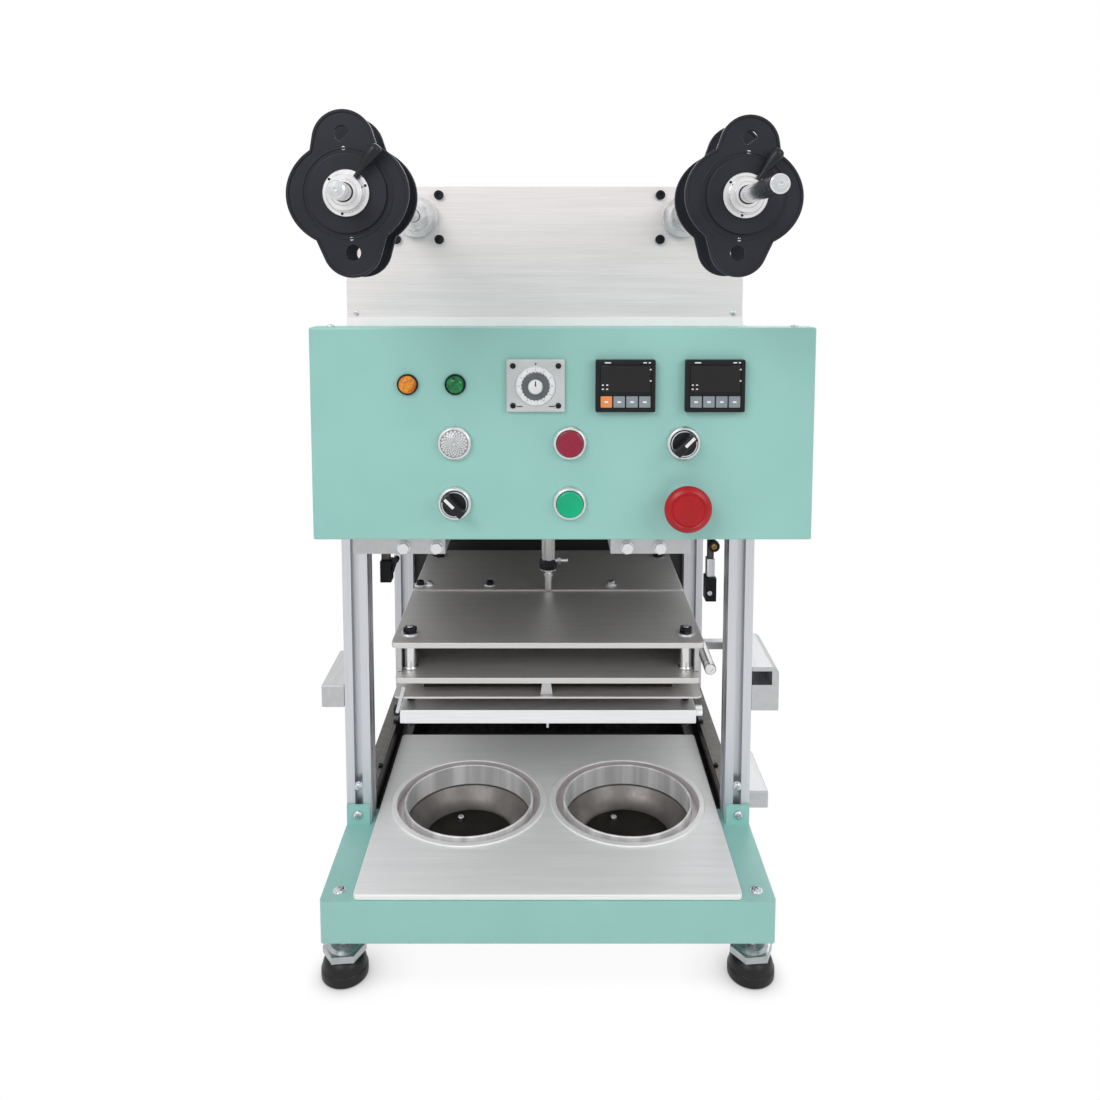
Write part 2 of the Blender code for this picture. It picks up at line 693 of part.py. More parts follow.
def make_reel_panel():
    low_x, high_x = PANEL_OFFSET - PANEL_HALF, PANEL_OFFSET + PANEL_HALF
    foot = HOUSING_TOP + TOUCH
    panel = box("reel_panel", (low_x, PANEL_Y, foot), (high_x, PANEL_Y + PANEL_THICKNESS, PANEL_TOP), STEEL)
    fold_low = (low_x, PANEL_Y + PANEL_FOLD_SETBACK, foot)
    fold_high = (high_x, PANEL_Y + PANEL_FOOT_DEPTH, foot + PANEL_THICKNESS)
    join(panel, box("panel_fold", fold_low, fold_high, collection=CUTTERS))
    for side in SIDES:
        x = shaft_place(side)
        start = (x, PANEL_Y - CUT_MARGIN, SHAFT_HEIGHT)
        end = (x, PANEL_Y + PANEL_THICKNESS + CUT_MARGIN, SHAFT_HEIGHT)
        cut(panel, round_bar(f"{side}_bearing_seat", BEARING_NOSE_RADIUS, start, end, collection=CUTTERS))
    strip_low = (low_x, PANEL_Y - PANEL_STRIP_THICKNESS - TOUCH, foot)
    box("reel_panel_foot", strip_low, (high_x, PANEL_Y - TOUCH, foot + PANEL_FOOT_HEIGHT), STEEL)


# Instruments


def lens(name, across, down, radius, rise, surface):
    face = fascia_point(across, down, TOUCH)
    profile = [
        (0, rise),
        (radius * 0.45, rise * 0.92),
        (radius * 0.80, rise * 0.70),
        (radius * 0.97, rise * 0.40),
        (radius, rise * 0.30),
        (radius * 1.18, rise * 0.28),
        (radius * 1.18, 0),
        (0, 0),
    ]
    return turned(name, profile, face, surface, direction=(0, -1, 0), steps=ROUND)


def make_timer():
    middle = fascia_point(TIMER_ACROSS, INSTRUMENT_ROW, TOUCH)
    half_x, half_z = TIMER_SIZE / 2, TIMER_HEIGHT / 2
    box(
        "timer_plate",
        middle + Vector((-half_x, -TIMER_THICKNESS, -half_z)),
        middle + Vector((half_x, 0, half_z)),
        PALE_PLASTIC,
        bevel=INSTRUMENT_BEVEL,
    )
    base = middle + Vector((0, -TIMER_THICKNESS - TOUCH, 0))
    profile = [
        (0, DIAL_HEIGHT),
        (0.0058, DIAL_HEIGHT),
        (0.0064, DIAL_HEIGHT * 0.60),
        (0.0115, DIAL_HEIGHT * 0.52),
        (0.0122, DIAL_HEIGHT * 0.15),
        (DIAL_RADIUS, DIAL_HEIGHT * 0.12),
        (DIAL_RADIUS, 0),
        (0, 0),
    ]
    turned("timer_dial", profile, base, BLACK_PLASTIC, direction=(0, -1, 0))


def make_controllers():
    """Square panel instruments with a sunk window."""
    for side, across in (("left", LEFT_CONTROLLER_ACROSS), ("right", RIGHT_CONTROLLER_ACROSS)):
        middle = fascia_point(across, INSTRUMENT_ROW, TOUCH)
        half_x, half_z = CONTROLLER_SIZE / 2, CONTROLLER_HEIGHT / 2
        low = middle + Vector((-half_x, -CONTROLLER_THICKNESS, -half_z))
        high = middle + Vector((half_x, 0, half_z))
        name = f"temperature_controller_{side}"
        case = box(name, low, high, BLACK_PLASTIC, bevel=INSTRUMENT_BEVEL)
        window_low = low + Vector((WINDOW_INSET, -CUT_MARGIN, WINDOW_INSET))
        window_high = high - Vector((WINDOW_INSET, CONTROLLER_THICKNESS - WINDOW_DEPTH, WINDOW_INSET))
        cut(case, box(f"{side}_window", window_low, window_high, collection=CUTTERS))


def press_cap(name, surface):
    """A round push-button cap that runs in its collar."""
    across, down = CONTROLS[name]
    radius = BEZEL_BORE - BUTTON_CLEARANCE
    top = BEZEL_HEIGHT + CAP_PROUD
    profile = [
        (0, top - 0.0004),
        (radius * 0.78, top),
        (radius, top - 0.0012),
        (radius, -CAP_DEPTH),
        (0, -CAP_DEPTH),
    ]
    turned(name + "_cap", profile, fascia_point(across, down), surface, direction=(0, -1, 0))


def selector_knob(name, tilt):
    """A round knob with a raised bar across it, set at an angle."""
    across, down = CONTROLS[name]
    radius = BEZEL_BORE - BUTTON_CLEARANCE
    base = BEZEL_HEIGHT + 0.0015
    profile = [(0, base), (radius, base), (radius, -CAP_DEPTH), (0, -CAP_DEPTH)]
    knob = turned(name + "_knob", profile, fascia_point(across, down), BLACK_PLASTIC, direction=(0, -1, 0))
    face = fascia_point(across, down)
    bar = box(
        name + "_bar",
        (-KNOB_BAR_WIDTH / 2, -base - KNOB_HEIGHT, -radius * 0.96),
        (KNOB_BAR_WIDTH / 2, -base + JOIN_DEPTH, radius * 0.96),
        collection=CUTTERS,
        bevel=0.001,
    )
    pivot = bpy.data.objects.new(name + "_axis", None)
    CUTTERS.objects.link(pivot)
    pivot.location = face
    pivot.rotation_euler = (0, tilt, 0)
    bar.parent = pivot
    join(knob, bar)


def make_stop():
    across, down = CONTROLS["emergency_stop"]
    neck = BEZEL_HEIGHT + STOP_NECK
    top = neck + STOP_THICKNESS
    stem = BEZEL_BORE - BUTTON_CLEARANCE
    profile = [
        (0, top),
        (STOP_RADIUS * 0.55, top - 0.0006),
        (STOP_RADIUS * 0.88, top - 0.0026),
        (STOP_RADIUS, top - 0.0055),
        (STOP_RADIUS * 0.96, neck),
        (stem, neck - 0.001),
        (stem, -CAP_DEPTH),
        (0, -CAP_DEPTH),
    ]
    turned("emergency_stop_button", profile, fascia_point(across, down), RED_CAP, direction=(0, -1, 0))


# Press head


def head_corners(inset_x):
    """Where the posts stand in from the corners of a plate of the head."""
    for side, x_sign in SIDES.items():
        for end, y in (("front", HEAD_FRONT + POST_INSET_Y), ("rear", HEAD_BACK - POST_INSET_Y)):
            yield f"{end}_{side}", x_sign * (HEAD_HALF - inset_x), y


def head_plate(name, inset, top, thickness, corner, surface):
    half = HEAD_HALF - inset
    low, high = (-half, HEAD_FRONT), (half, HEAD_BACK)
    return plate(name, low, high, top - thickness, thickness, corner, surface)


def make_head():
    upper_top = UPPER_PLATE_TOP
    upper = head_plate("head_upper_plate", 0, upper_top, UPPER_PLATE_THICKNESS, HEAD_CORNER, STEEL)
    for tag, x, y in head_corners(POST_INSET_X):
        post_top = upper_top - UPPER_PLATE_THICKNESS + JOIN_DEPTH
        join(upper, upright(f"{tag}_post", POST_RADIUS, x, y, MIDDLE_PLATE_TOP + TOUCH, post_top))
        washer_top = upper_top + WASHER_THICKNESS
        join(upper, upright(f"{tag}_washer", WASHER_RADIUS, x, y, upper_top - JOIN_DEPTH, washer_top))
        start, end = (x, y, upper_top), (x, y, washer_top + POST_NUT_HEIGHT)
        join(upper, hex_bar(f"{tag}_post_nut", POST_NUT_RADIUS * math.sqrt(3), start, end))
    middle_top = MIDDLE_PLATE_TOP
    head_plate(
        "head_middle_plate", MIDDLE_PLATE_INSET, middle_top, MIDDLE_PLATE_THICKNESS, HEAD_CORNER, STEEL
    )
    head_plate("head_stripper_plate", STRIPPER_INSET, STRIPPER_TOP, STRIPPER_THICKNESS, HEAD_CORNER, STEEL)
    half = HEAD_HALF - MIDDLE_PLATE_INSET - HEATER_INSET_X
    low = (-half, HEAD_FRONT + HEATER_INSET_Y, STRIPPER_TOP + TOUCH)
    box("heater_block", low, (half, HEAD_BACK - HEATER_INSET_Y, MIDDLE_PLATE_BOTTOM - TOUCH), DARK_STEEL)
    seal = head_plate(
        "head_seal_plate", SEAL_PLATE_INSET, SEAL_PLATE_TOP, SEAL_PLATE_THICKNESS, SEAL_CORNER, ALUMINIUM
    )
    for tag, x, y in head_corners(SEAL_PLATE_INSET + SPACER_INSET_X):
        low, high = SEAL_PLATE_TOP - JOIN_DEPTH, STRIPPER_BOTTOM - TOUCH
        join(seal, upright(f"{tag}_spacer", SPACER_RADIUS, x, y, low, high))


def make_rod():
    """The cylinder's rod: thick in the deck, then a nut with a side fitting, a collar and a thin end."""
    top = DECK_TOP + PRESS_STROKE + ROD_MARGIN
    low = UPPER_PLATE_TOP + TOUCH
    nut_low = low + ROD_NUT_TOP - ROD_NUT_HEIGHT
    collar = low + ROD_COLLAR_RISE
    profile = [
        (0, top),
        (ROD_RADIUS, top),
        (ROD_RADIUS, nut_low + JOIN_DEPTH),
        (ROD_TIP_RADIUS, nut_low + JOIN_DEPTH),
        (ROD_TIP_RADIUS, collar + ROD_COLLAR_HEIGHT),
        (ROD_COLLAR_RADIUS, collar + ROD_COLLAR_HEIGHT),
        (ROD_COLLAR_RADIUS, collar),
        (ROD_TIP_RADIUS, collar),
        (ROD_TIP_RADIUS, low + ROD_TIP_RADIUS * 0.5),
        (ROD_TIP_RADIUS * 0.7, low),
        (0, low),
    ]
    rod = turned("press_rod", profile, (0, HEAD_MIDDLE_Y, 0), CHROME)
    middle = Vector((0, HEAD_MIDDLE_Y, nut_low))
    nut_top = middle + Vector((0, 0, ROD_NUT_HEIGHT))
    join(rod, hex_bar("rod_nut", ROD_NUT_RADIUS * math.sqrt(3), middle, nut_top))
    start = middle + Vector((0, 0, ROD_NUT_HEIGHT * 0.8))
    end = start + Vector((ROD_NUT_RADIUS + ROD_FITTING_LENGTH, 0, 0))
    join(rod, round_bar("rod_fitting", ROD_FITTING_RADIUS, start, end, collection=CUTTERS, sides=SMALL_ROUND))
    bore = ROD_RADIUS + ROD_CLEARANCE
    body_top = top + CYLINDER_WALL_TOP
    shell = [
        (bore, DECK_TOP + TOUCH),
        (bore, body_top),
        (CYLINDER_RADIUS, body_top),
        (CYLINDER_RADIUS, DECK_TOP + TOUCH),
    ]
    turned("press_cylinder", shell, (0, HEAD_MIDDLE_Y, 0), ALUMINIUM)


# Tray


def make_tray():
    low, high = (-TRAY_HALF, TRAY_FRONT), (TRAY_HALF, TRAY_FRONT + TRAY_DEPTH)
    tray = plate("tray_plate", low, high, TRAY_BOTTOM, TRAY_THICKNESS, TRAY_CORNER, STEEL)
    seat = RING_RADIUS - RING_BAND
    for side, x_sign in SIDES.items():
        x = x_sign * CUP_SPACING / 2
        low, high = TRAY_BOTTOM - CUT_MARGIN, TRAY_TOP + CUT_MARGIN
        cut(tray, upright(f"{side}_cup_hole", seat + TOUCH, x, CUP_Y, low, high, RING_ROUND))
        ring_top = TRAY_TOP + RING_PROUD
        channel = ring_top - RING_CHANNEL_DEPTH
        bore = HOLDER_RADIUS + TOUCH
        ring = [
            (RING_RADIUS, TRAY_TOP + TOUCH),
            (seat, TRAY_TOP + TOUCH),
            (seat, channel - RING_FLOOR),
            (bore, channel - RING_FLOOR),
            (bore, channel),
            (seat - 0.0018, channel),
            (seat - 0.0018, ring_top - 0.0004),
            (seat - 0.0012, ring_top),
            (RING_RADIUS - 0.001, ring_top),
            (RING_RADIUS, ring_top - 0.0008),
        ]
        turned(f"cutting_ring_{side}", ring, (x, CUP_Y, 0), STEEL, steps=RING_ROUND)
        floor = ring_top - HOLDER_DEPTH
        inner = HOLDER_RADIUS - HOLDER_WALL
        seat_low = channel - RING_FLOOR - TOUCH
        holder = [
            (0, floor + HOLDER_FLOOR),
            (inner - HOLDER_FLANGE, floor + HOLDER_FLOOR),
            (inner, ring_top - HOLDER_LIP_HEIGHT),
            (inner, ring_top - 0.0008),
            (inner + 0.0006, ring_top),
            (HOLDER_RADIUS - 0.0006, ring_top),
            (HOLDER_RADIUS, ring_top - 0.0008),
            (HOLDER_RADIUS, seat_low),
            (HOLDER_RADIUS + HOLDER_FLANGE, seat_low),
            (HOLDER_RADIUS + HOLDER_FLANGE, seat_low - 0.002),
            (HOLDER_RADIUS, seat_low - 0.002),
            (inner - HOLDER_FLANGE + HOLDER_WALL, floor),
            (0, floor),
        ]
        turned(f"cup_holder_{side}", holder, (x, CUP_Y, 0), STEEL, steps=RING_ROUND)


def make_rails():
    front = FRONT_COLUMN_Y + COLUMN_WIDTH + RAIL_REAR_GAP
    back = REAR_COLUMN_Y - RAIL_REAR_GAP
    for side, x_sign in SIDES.items():
        inner = x_sign * (TRAY_HALF + TRAY_SIDE_CLEARANCE)
        x0, x1 = sorted((inner, inner + x_sign * RAIL_THICKNESS))
        low, high = (x0, front, BASE_TOP + TOUCH), (x1, back, BASE_TOP + RAIL_HEIGHT)
        box(f"tray_rail_{side}", low, high, DARK_STEEL, bevel=RAIL_BEVEL)


# Film brackets and rollers


def make_film_brackets():
    """Brackets outside the front columns: a square tube, and a taller one that carries a film roller."""
    front, outside = FRONT_COLUMN_Y, COLUMN_OUTER + TOUCH
    back = front + BRACKET_LENGTH
    low, high = (-outside - BRACKET_SIZE, front, BRACKET_TOP - BRACKET_SIZE), (-outside, back, BRACKET_TOP)
    box("film_bracket_left", low, high, STEEL, bevel=BRACKET_BEVEL)
    bottom, top = TALL_BRACKET_TOP - TALL_BRACKET_HEIGHT, TALL_BRACKET_TOP
    edge = outside + TALL_BRACKET_WIDTH
    corner = arc((edge - TALL_BRACKET_ROUND, top - TALL_BRACKET_ROUND), TALL_BRACKET_ROUND, 0, 90, 4)
    outline = [(outside, bottom), (edge, bottom)] + corner + [(outside, top)]
    tall = outlined("film_bracket_right", outline, BRACKET_LENGTH, STEEL)
    tall.rotation_euler = (math.radians(90), 0, 0)
    tall.location = (0, back, 0)
    pocket_top = top - POCKET_DROP
    low = (outside - CUT_MARGIN, front - CUT_MARGIN, pocket_top - POCKET_HEIGHT)
    high = (outside + POCKET_WIDTH, front + POCKET_DEPTH, pocket_top)
    cut(tall, box("bracket_pocket", low, high, collection=CUTTERS))
    roller_x = HEAD_HALF + HEAD_TO_ROLLER + ROLLER_RADIUS
    height = top - ROLLER_DROP
    arm_back = back - BRACKET_ARM_JOIN
    arm_front = arm_back - BRACKET_ARM_DEPTH
    low = (roller_x - ROLLER_RADIUS, arm_front, height - BRACKET_ARM_HEIGHT / 2)
    high = (outside + BRACKET_ARM_JOIN, arm_back, height + BRACKET_ARM_HEIGHT / 2)
    join(tall, box("bracket_arm", low, high, collection=CUTTERS))
    start = Vector((roller_x, arm_front - TOUCH, height))
    ahead = Vector((0, ROLLER_LENGTH, 0))
    round_bar("film_roller_right", ROLLER_RADIUS, start, start - ahead, STEEL, sides=SMALL_ROUND)
    behind = FRONT_COLUMN_Y + COLUMN_WIDTH + TOUCH
    low = (COLUMN_OUTER - LOWER_BRACKET_REACH, behind, LOWER_BRACKET_TOP - LOWER_BRACKET_HEIGHT)
    high = (COLUMN_OUTER + LOWER_BRACKET_WIDTH, behind + LOWER_BRACKET_LENGTH, LOWER_BRACKET_TOP)
    box("film_bracket_lower_right", low, high, STEEL, bevel=BRACKET_BEVEL)


# Film reels


def lobe(offset, radius, angle, width, height, steps):
    """A round lobe on the long axis, with straight necks to the oval body that it stands on."""
    neck = math.radians(angle)
    neck_x, neck_rise = width * math.cos(neck), height * math.sin(neck) - offset
    apart = math.hypot(neck_x, neck_rise)
    meets = math.degrees(math.atan2(neck_rise, neck_x) + math.acos(radius / apart))
    return arc((0, offset), radius, meets, 180 - meets, steps)


def lobed_outline(inset=0.0):
    """An oval disc with a round lobe above and another below, drawn in from its edge."""
    width, height = DISC_RADIUS - inset, DISC_HALF_HEIGHT - inset
    side_steps, lobe_steps = DISC_STEPS
    turns = [
        math.radians(-NECK_ANGLE + (UPPER_NECK_ANGLE + NECK_ANGLE) * step / side_steps)
        for step in range(side_steps + 1)
    ]
    right = [(width * math.cos(turn), height * math.sin(turn)) for turn in turns]
    left = [(-x, y) for x, y in reversed(right)]
    above = lobe(UPPER_LOBE_OFFSET, UPPER_LOBE_RADIUS - inset, UPPER_NECK_ANGLE, width, height, lobe_steps)
    below = lobe(LOWER_LOBE_OFFSET, LOWER_LOBE_RADIUS - inset, NECK_ANGLE, width, height, lobe_steps)
    return right + above + left + [(-x, -y) for x, y in below]


def tilted(points, degrees):
    turn = Matrix.Rotation(math.radians(degrees), 2)
    return [tuple(turn @ Vector(point)) for point in points]


def make_disc(name, side, front_y, bore):
    """A moulded disc standing across the shaft: a raised rim, a stepped middle and two pairs of holes."""
    x, tilt = shaft_place(side), DISC_TILT[side]
    disc = outlined(name, tilted(lobed_outline(), tilt), DISC_THICKNESS, BLACK_PLASTIC)
    recess_outline = tilted(lobed_outline(DISC_RIM_WIDTH), tilt)
    recess = outlined(name + "_recess", recess_outline, DISC_RECESS + CUT_MARGIN, collection=CUTTERS)
    for flat, back in ((disc, front_y + DISC_THICKNESS), (recess, front_y + DISC_RECESS)):
        flat.rotation_euler = (math.radians(90), 0, 0)
        flat.location = (x, back, SHAFT_HEIGHT)
    cut(disc, recess)
    lean = math.radians(tilt)

    def bar(tag, radius, height, start, end, sides):
        """A round bar through the disc, some way up its long axis."""
        across, up = x - height * math.sin(lean), SHAFT_HEIGHT + height * math.cos(lean)
        start, end = (across, start, up), (across, end, up)
        return round_bar(f"{name}_{tag}", radius, start, end, collection=CUTTERS, sides=sides)

    step_back = front_y + DISC_RECESS + JOIN_DEPTH
    join(disc, bar("step", DISC_STEP_RADIUS, 0, step_back, front_y - DISC_STEP_HEIGHT, ROUND))
    holes = (
        (WEB_HOLE_RADIUS, WEB_HOLE_OFFSET, SMALL_ROUND),
        (PIN_HOLE_RADIUS, PIN_HOLE_OFFSET, PIN_ROUND),
        (PIN_HOLE_RADIUS, -PIN_HOLE_OFFSET, PIN_ROUND),
        (WEB_HOLE_RADIUS, -WEB_HOLE_OFFSET, SMALL_ROUND),
        (bore, 0, SMALL_ROUND),
    )
    for number, (radius, height, sides) in enumerate(holes):
        start, end = front_y - CUT_MARGIN, front_y + DISC_THICKNESS + CUT_MARGIN
        cut(disc, bar(f"hole_{number}", radius, height, start, end, sides))
    return disc


def make_collar(name, x, back_y, bore):
    """A bright stepped clamping collar in front of a disc."""
    profile = [
        (bore, COLLAR_LENGTH),
        (COLLAR_NOSE_RADIUS, COLLAR_LENGTH),
        (COLLAR_NOSE_RADIUS, COLLAR_BODY_LENGTH),
        (COLLAR_BODY_RADIUS, COLLAR_BODY_LENGTH),
        (COLLAR_BODY_RADIUS, COLLAR_FLANGE),
        (COLLAR_RADIUS, COLLAR_FLANGE),
        (COLLAR_RADIUS, 0),
        (bore, 0),
    ]
    return turned(name, profile, (x, back_y, SHAFT_HEIGHT), CHROME, direction=(0, -1, 0))


def make_lever(name, x, y):
    """The clamp's lever, standing up and to the right, thin at the collar and fat at its end."""
    along = Vector((math.sin(LEVER_ANGLE), 0, math.cos(LEVER_ANGLE)))
    root = Vector((x, y, SHAFT_HEIGHT)) + along * (COLLAR_BODY_RADIUS + TOUCH)
    profile = [
        (0, LEVER_LENGTH),
        (LEVER_TIP_RADIUS * 0.75, LEVER_LENGTH - 0.0012),
        (LEVER_TIP_RADIUS, LEVER_LENGTH - 0.004),
        (LEVER_TIP_RADIUS * 0.8, LEVER_LENGTH * 0.5),
        (LEVER_NECK_RADIUS, LEVER_LENGTH * 0.3),
        (LEVER_NECK_RADIUS, 0),
        (0, 0),
    ]
    turned(name, profile, root, BLACK_PLASTIC, direction=along, steps=SMALL_ROUND)


def make_reels():
    bore = SHAFT_RADIUS + SHAFT_CLEARANCE
    reels = (
        ("left", LEFT_SHAFT_REACH, LEFT_HUB_REACH, LEFT_DISC_GAP),
        ("right", RIGHT_SHAFT_REACH, RIGHT_HUB_REACH, RIGHT_DISC_GAP),
    )
    bearing = [
        (bore, BEARING_LENGTH),
        (BEARING_NOSE_RADIUS, BEARING_LENGTH),
        (BEARING_NOSE_RADIUS, BEARING_FLANGE_LENGTH),
        (BEARING_RADIUS, BEARING_FLANGE_LENGTH),
        (BEARING_RADIUS, TOUCH),
        (BEARING_NOSE_RADIUS - TOUCH, TOUCH),
        (BEARING_NOSE_RADIUS - TOUCH, -BEARING_SEAT),
        (bore, -BEARING_SEAT),
    ]
    for side, reach, hub_reach, disc_gap in reels:
        x = shaft_place(side)
        tip, end = (x, FRONT - reach, SHAFT_HEIGHT), (x, PANEL_Y + SHAFT_PAST_PANEL, SHAFT_HEIGHT)
        shaft = round_bar(f"reel_shaft_{side}", SHAFT_RADIUS, tip, end, CHROME)
        soften(shaft, SHAFT_BEVEL, 1)
        turned(f"reel_bearing_{side}", bearing, (x, PANEL_Y, SHAFT_HEIGHT), CHROME, direction=(0, -1, 0))
        collar_back = FRONT - hub_reach + COLLAR_LENGTH
        front_disc = collar_back + DISC_STEP_HEIGHT + TOUCH
        make_disc(f"reel_front_disc_{side}", side, front_disc, bore)
        make_disc(f"reel_back_disc_{side}", side, front_disc + disc_gap, bore)
        make_collar(f"reel_collar_{side}", x, collar_back, bore)
        make_lever(f"clamp_lever_{side}", x, collar_back - LEVER_SETBACK)


make_base()
make_feet()
make_columns()
make_rear_panel()
make_deck()
make_guide_blocks()
make_housing()
make_fascia()
make_reel_panel()
lens("amber_lamp", AMBER_ACROSS, LAMP_ROW, LAMP_RADIUS, LAMP_RISE, AMBER_LENS)
lens("green_lamp", GREEN_LAMP_ACROSS, LAMP_ROW, LAMP_RADIUS, LAMP_RISE, GREEN_LENS)
lens("clear_lamp", CLEAR_LAMP_ACROSS, UPPER_CONTROL_ROW, BEZEL_BORE, 0.008, CLEAR_LENS)
make_timer()
make_controllers()
press_cap("red_button", RED_CAP)
press_cap("green_button", GREEN_CAP)
selector_knob("left_selector", -SELECTOR_TURN)
selector_knob("right_selector", SELECTOR_TURN)
make_stop()
make_head()
make_rod()
make_tray()
make_rails()
make_film_brackets()
make_reels()
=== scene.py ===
# %% [markdown]
# # Dressing a cup sealing machine
#
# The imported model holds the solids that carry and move. This script gives them their finishes and adds the
# small things that make a machine look real: screws, nuts, lenses, keys, knurls and bevels. Everything is
# in metres, in the frame of the solids, so a new piece goes where its neighbour's box says.

# %% Load the frame
import json
import math

import bmesh
import bpy
from mathutils import Matrix, Vector

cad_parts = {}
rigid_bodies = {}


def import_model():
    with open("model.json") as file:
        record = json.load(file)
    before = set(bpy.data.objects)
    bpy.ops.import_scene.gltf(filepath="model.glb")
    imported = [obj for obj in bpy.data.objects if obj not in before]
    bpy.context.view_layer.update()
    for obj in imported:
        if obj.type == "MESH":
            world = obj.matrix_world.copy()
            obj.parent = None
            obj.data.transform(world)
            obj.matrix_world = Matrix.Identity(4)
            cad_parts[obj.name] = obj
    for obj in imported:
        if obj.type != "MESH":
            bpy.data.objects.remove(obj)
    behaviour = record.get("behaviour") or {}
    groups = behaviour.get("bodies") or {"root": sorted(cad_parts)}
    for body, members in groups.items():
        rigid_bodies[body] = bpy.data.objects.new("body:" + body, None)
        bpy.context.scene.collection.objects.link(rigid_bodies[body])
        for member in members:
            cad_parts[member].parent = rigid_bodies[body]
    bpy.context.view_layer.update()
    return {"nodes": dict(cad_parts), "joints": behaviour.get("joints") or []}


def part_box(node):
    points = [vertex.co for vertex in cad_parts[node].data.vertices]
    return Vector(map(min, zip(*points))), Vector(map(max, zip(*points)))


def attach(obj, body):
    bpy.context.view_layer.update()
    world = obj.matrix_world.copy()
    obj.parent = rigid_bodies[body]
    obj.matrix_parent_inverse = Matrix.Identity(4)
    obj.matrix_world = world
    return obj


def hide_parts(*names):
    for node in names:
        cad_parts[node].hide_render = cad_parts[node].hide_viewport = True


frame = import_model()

NODES = frame["nodes"]
JOINT = {joint["name"]: joint for joint in frame["joints"]}
SIDES = {"left": -1, "right": 1}
FRONTWARD, UPWARD, MM = (0, -1, 0), (0, 0, 1), 0.001
print("solids loaded:", len(NODES), "joints:", len(JOINT))

# %% [markdown]
# ## The camera
#
# The photograph was taken from in front, a little above the tray, looking slightly down. A plain
# perspective camera with a small vertical shift keeps the columns upright, which is what a product
# photographer's shift lens does.

# %% Camera
PHOTO_SIZE, FOCAL_PIXELS, HORIZON_ROW = 1100, 935.8, 349.2
TILT_DOWN, SENSOR = math.radians(5.3), 36.0
CAMERA_BEFORE_BASE, CAMERA_HEIGHT, CAMERA_ACROSS = 0.8002, 0.6648, 0.002

base_low, base_high = (Vector(corner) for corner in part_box("base_frame"))
lens_data = bpy.data.cameras.new("camera")
lens_data.sensor_width = SENSOR
lens_data.lens = FOCAL_PIXELS / PHOTO_SIZE * SENSOR
lens_data.shift_y = -(PHOTO_SIZE / 2 - HORIZON_ROW) / PHOTO_SIZE
camera = bpy.data.objects.new("camera", lens_data)
camera.location = (CAMERA_ACROSS, base_low.y - CAMERA_BEFORE_BASE, CAMERA_HEIGHT)
camera.rotation_euler = (math.radians(90) - TILT_DOWN, 0, 0)
bpy.context.scene.collection.objects.link(camera)
bpy.context.scene.camera = camera
print("camera lens:", round(lens_data.lens, 1), "mm")

# %% [markdown]
# ## Studio
#
# A pale floor and a white surround. The surround looks white to the camera, to mirrors and through glass,
# while the light that it sheds on the machine is a softer grey, so that paint keeps its own colour. Two
# broad lamps stand high at the front and one behind, and their soft reflections draw the bevels.


# %% Colour and node helpers
def linear(hex_colour):
    """Turn an sRGB hex colour into the linear values that Blender mixes."""
    parts = [int(hex_colour[i : i + 2], 16) / 255 for i in (1, 3, 5)]
    return tuple(c / 12.92 if c <= 0.04045 else ((c + 0.055) / 1.055) ** 2.4 for c in parts) + (1.0,)


def add(tree, kind, settings=None, links=None):
    """Add a node, set its attributes, then fill each input with a value or another node's output."""
    node = tree.nodes.new(kind)
    for name, value in (settings or {}).items():
        setattr(node, name, value)
    for name, value in (links or {}).items():
        socket = node.inputs[name]
        if isinstance(value, bpy.types.NodeSocket):
            tree.links.new(value, socket)
        else:
            socket.default_value = value
    return node


# %% [markdown]
# A world is seen in two ways: as the picture behind the object, and as the light that falls on it. Light
# Path tells the two apart, so one shader serves the eye and another serves the light.

# %% World and lamps
WHITE, SURROUND_LIGHT = (1.0, 1.0, 1.0, 1.0), 0.62


def seen_white(tree):
    """1 where a ray comes from the camera, a mirror or glass, and 0 for plain light."""
    path = add(tree, "ShaderNodeLightPath").outputs
    mirrored = {0: path["Is Camera Ray"], 1: path["Is Glossy Ray"]}
    either = add(tree, "ShaderNodeMath", {"operation": "MAXIMUM"}, mirrored)
    through = {0: either.outputs[0], 1: path["Is Transmission Ray"]}
    return add(tree, "ShaderNodeMath", {"operation": "MAXIMUM"}, through).outputs[0]


def mixed(tree, plain, seen, kind):
    """Show one shader to plain light and another to the eye."""
    links = {0: seen_white(tree), 1: plain.outputs[0], 2: seen.outputs[0]}
    blend = add(tree, "ShaderNodeMixShader", None, links)
    add(tree, kind, None, {"Surface": blend.outputs[0]})


world = bpy.data.worlds.new("studio")
bpy.context.scene.world = world
world.use_nodes = True
sky = world.node_tree
sky.nodes.clear()
soft = add(sky, "ShaderNodeBackground", None, {"Color": linear("#f4f5f6"), "Strength": SURROUND_LIGHT})
bright = add(sky, "ShaderNodeBackground", None, {"Color": WHITE, "Strength": 1.0})
mixed(sky, soft, bright, "ShaderNodeOutputWorld")


def lamp(name, place, aim, size, power):
    """A broad soft lamp that faces a point."""
    data = bpy.data.lights.new(name, "AREA")
    data.shape = "RECTANGLE"
    data.size, data.size_y = size
    data.energy = power
    made = bpy.data.objects.new(name, data)
    made.location = place
    made.rotation_euler = (Vector(aim) - Vector(place)).to_track_quat("-Z", "Y").to_euler()
    bpy.context.scene.collection.objects.link(made)


lamp("key_softbox", (-0.9, -1.6, 1.7), (0, 0, 0.35), (1.1, 0.9), 15)
lamp("fill_softbox", (1.3, -1.3, 1.2), (0, 0, 0.35), (0.9, 0.9), 7)
lamp("back_softbox", (0.2, 1.6, 1.6), (0, 0, 0.45), (1.2, 0.8), 9)
bpy.context.scene.view_settings.view_transform = "Standard"
print("lamps:", len(bpy.data.lights))

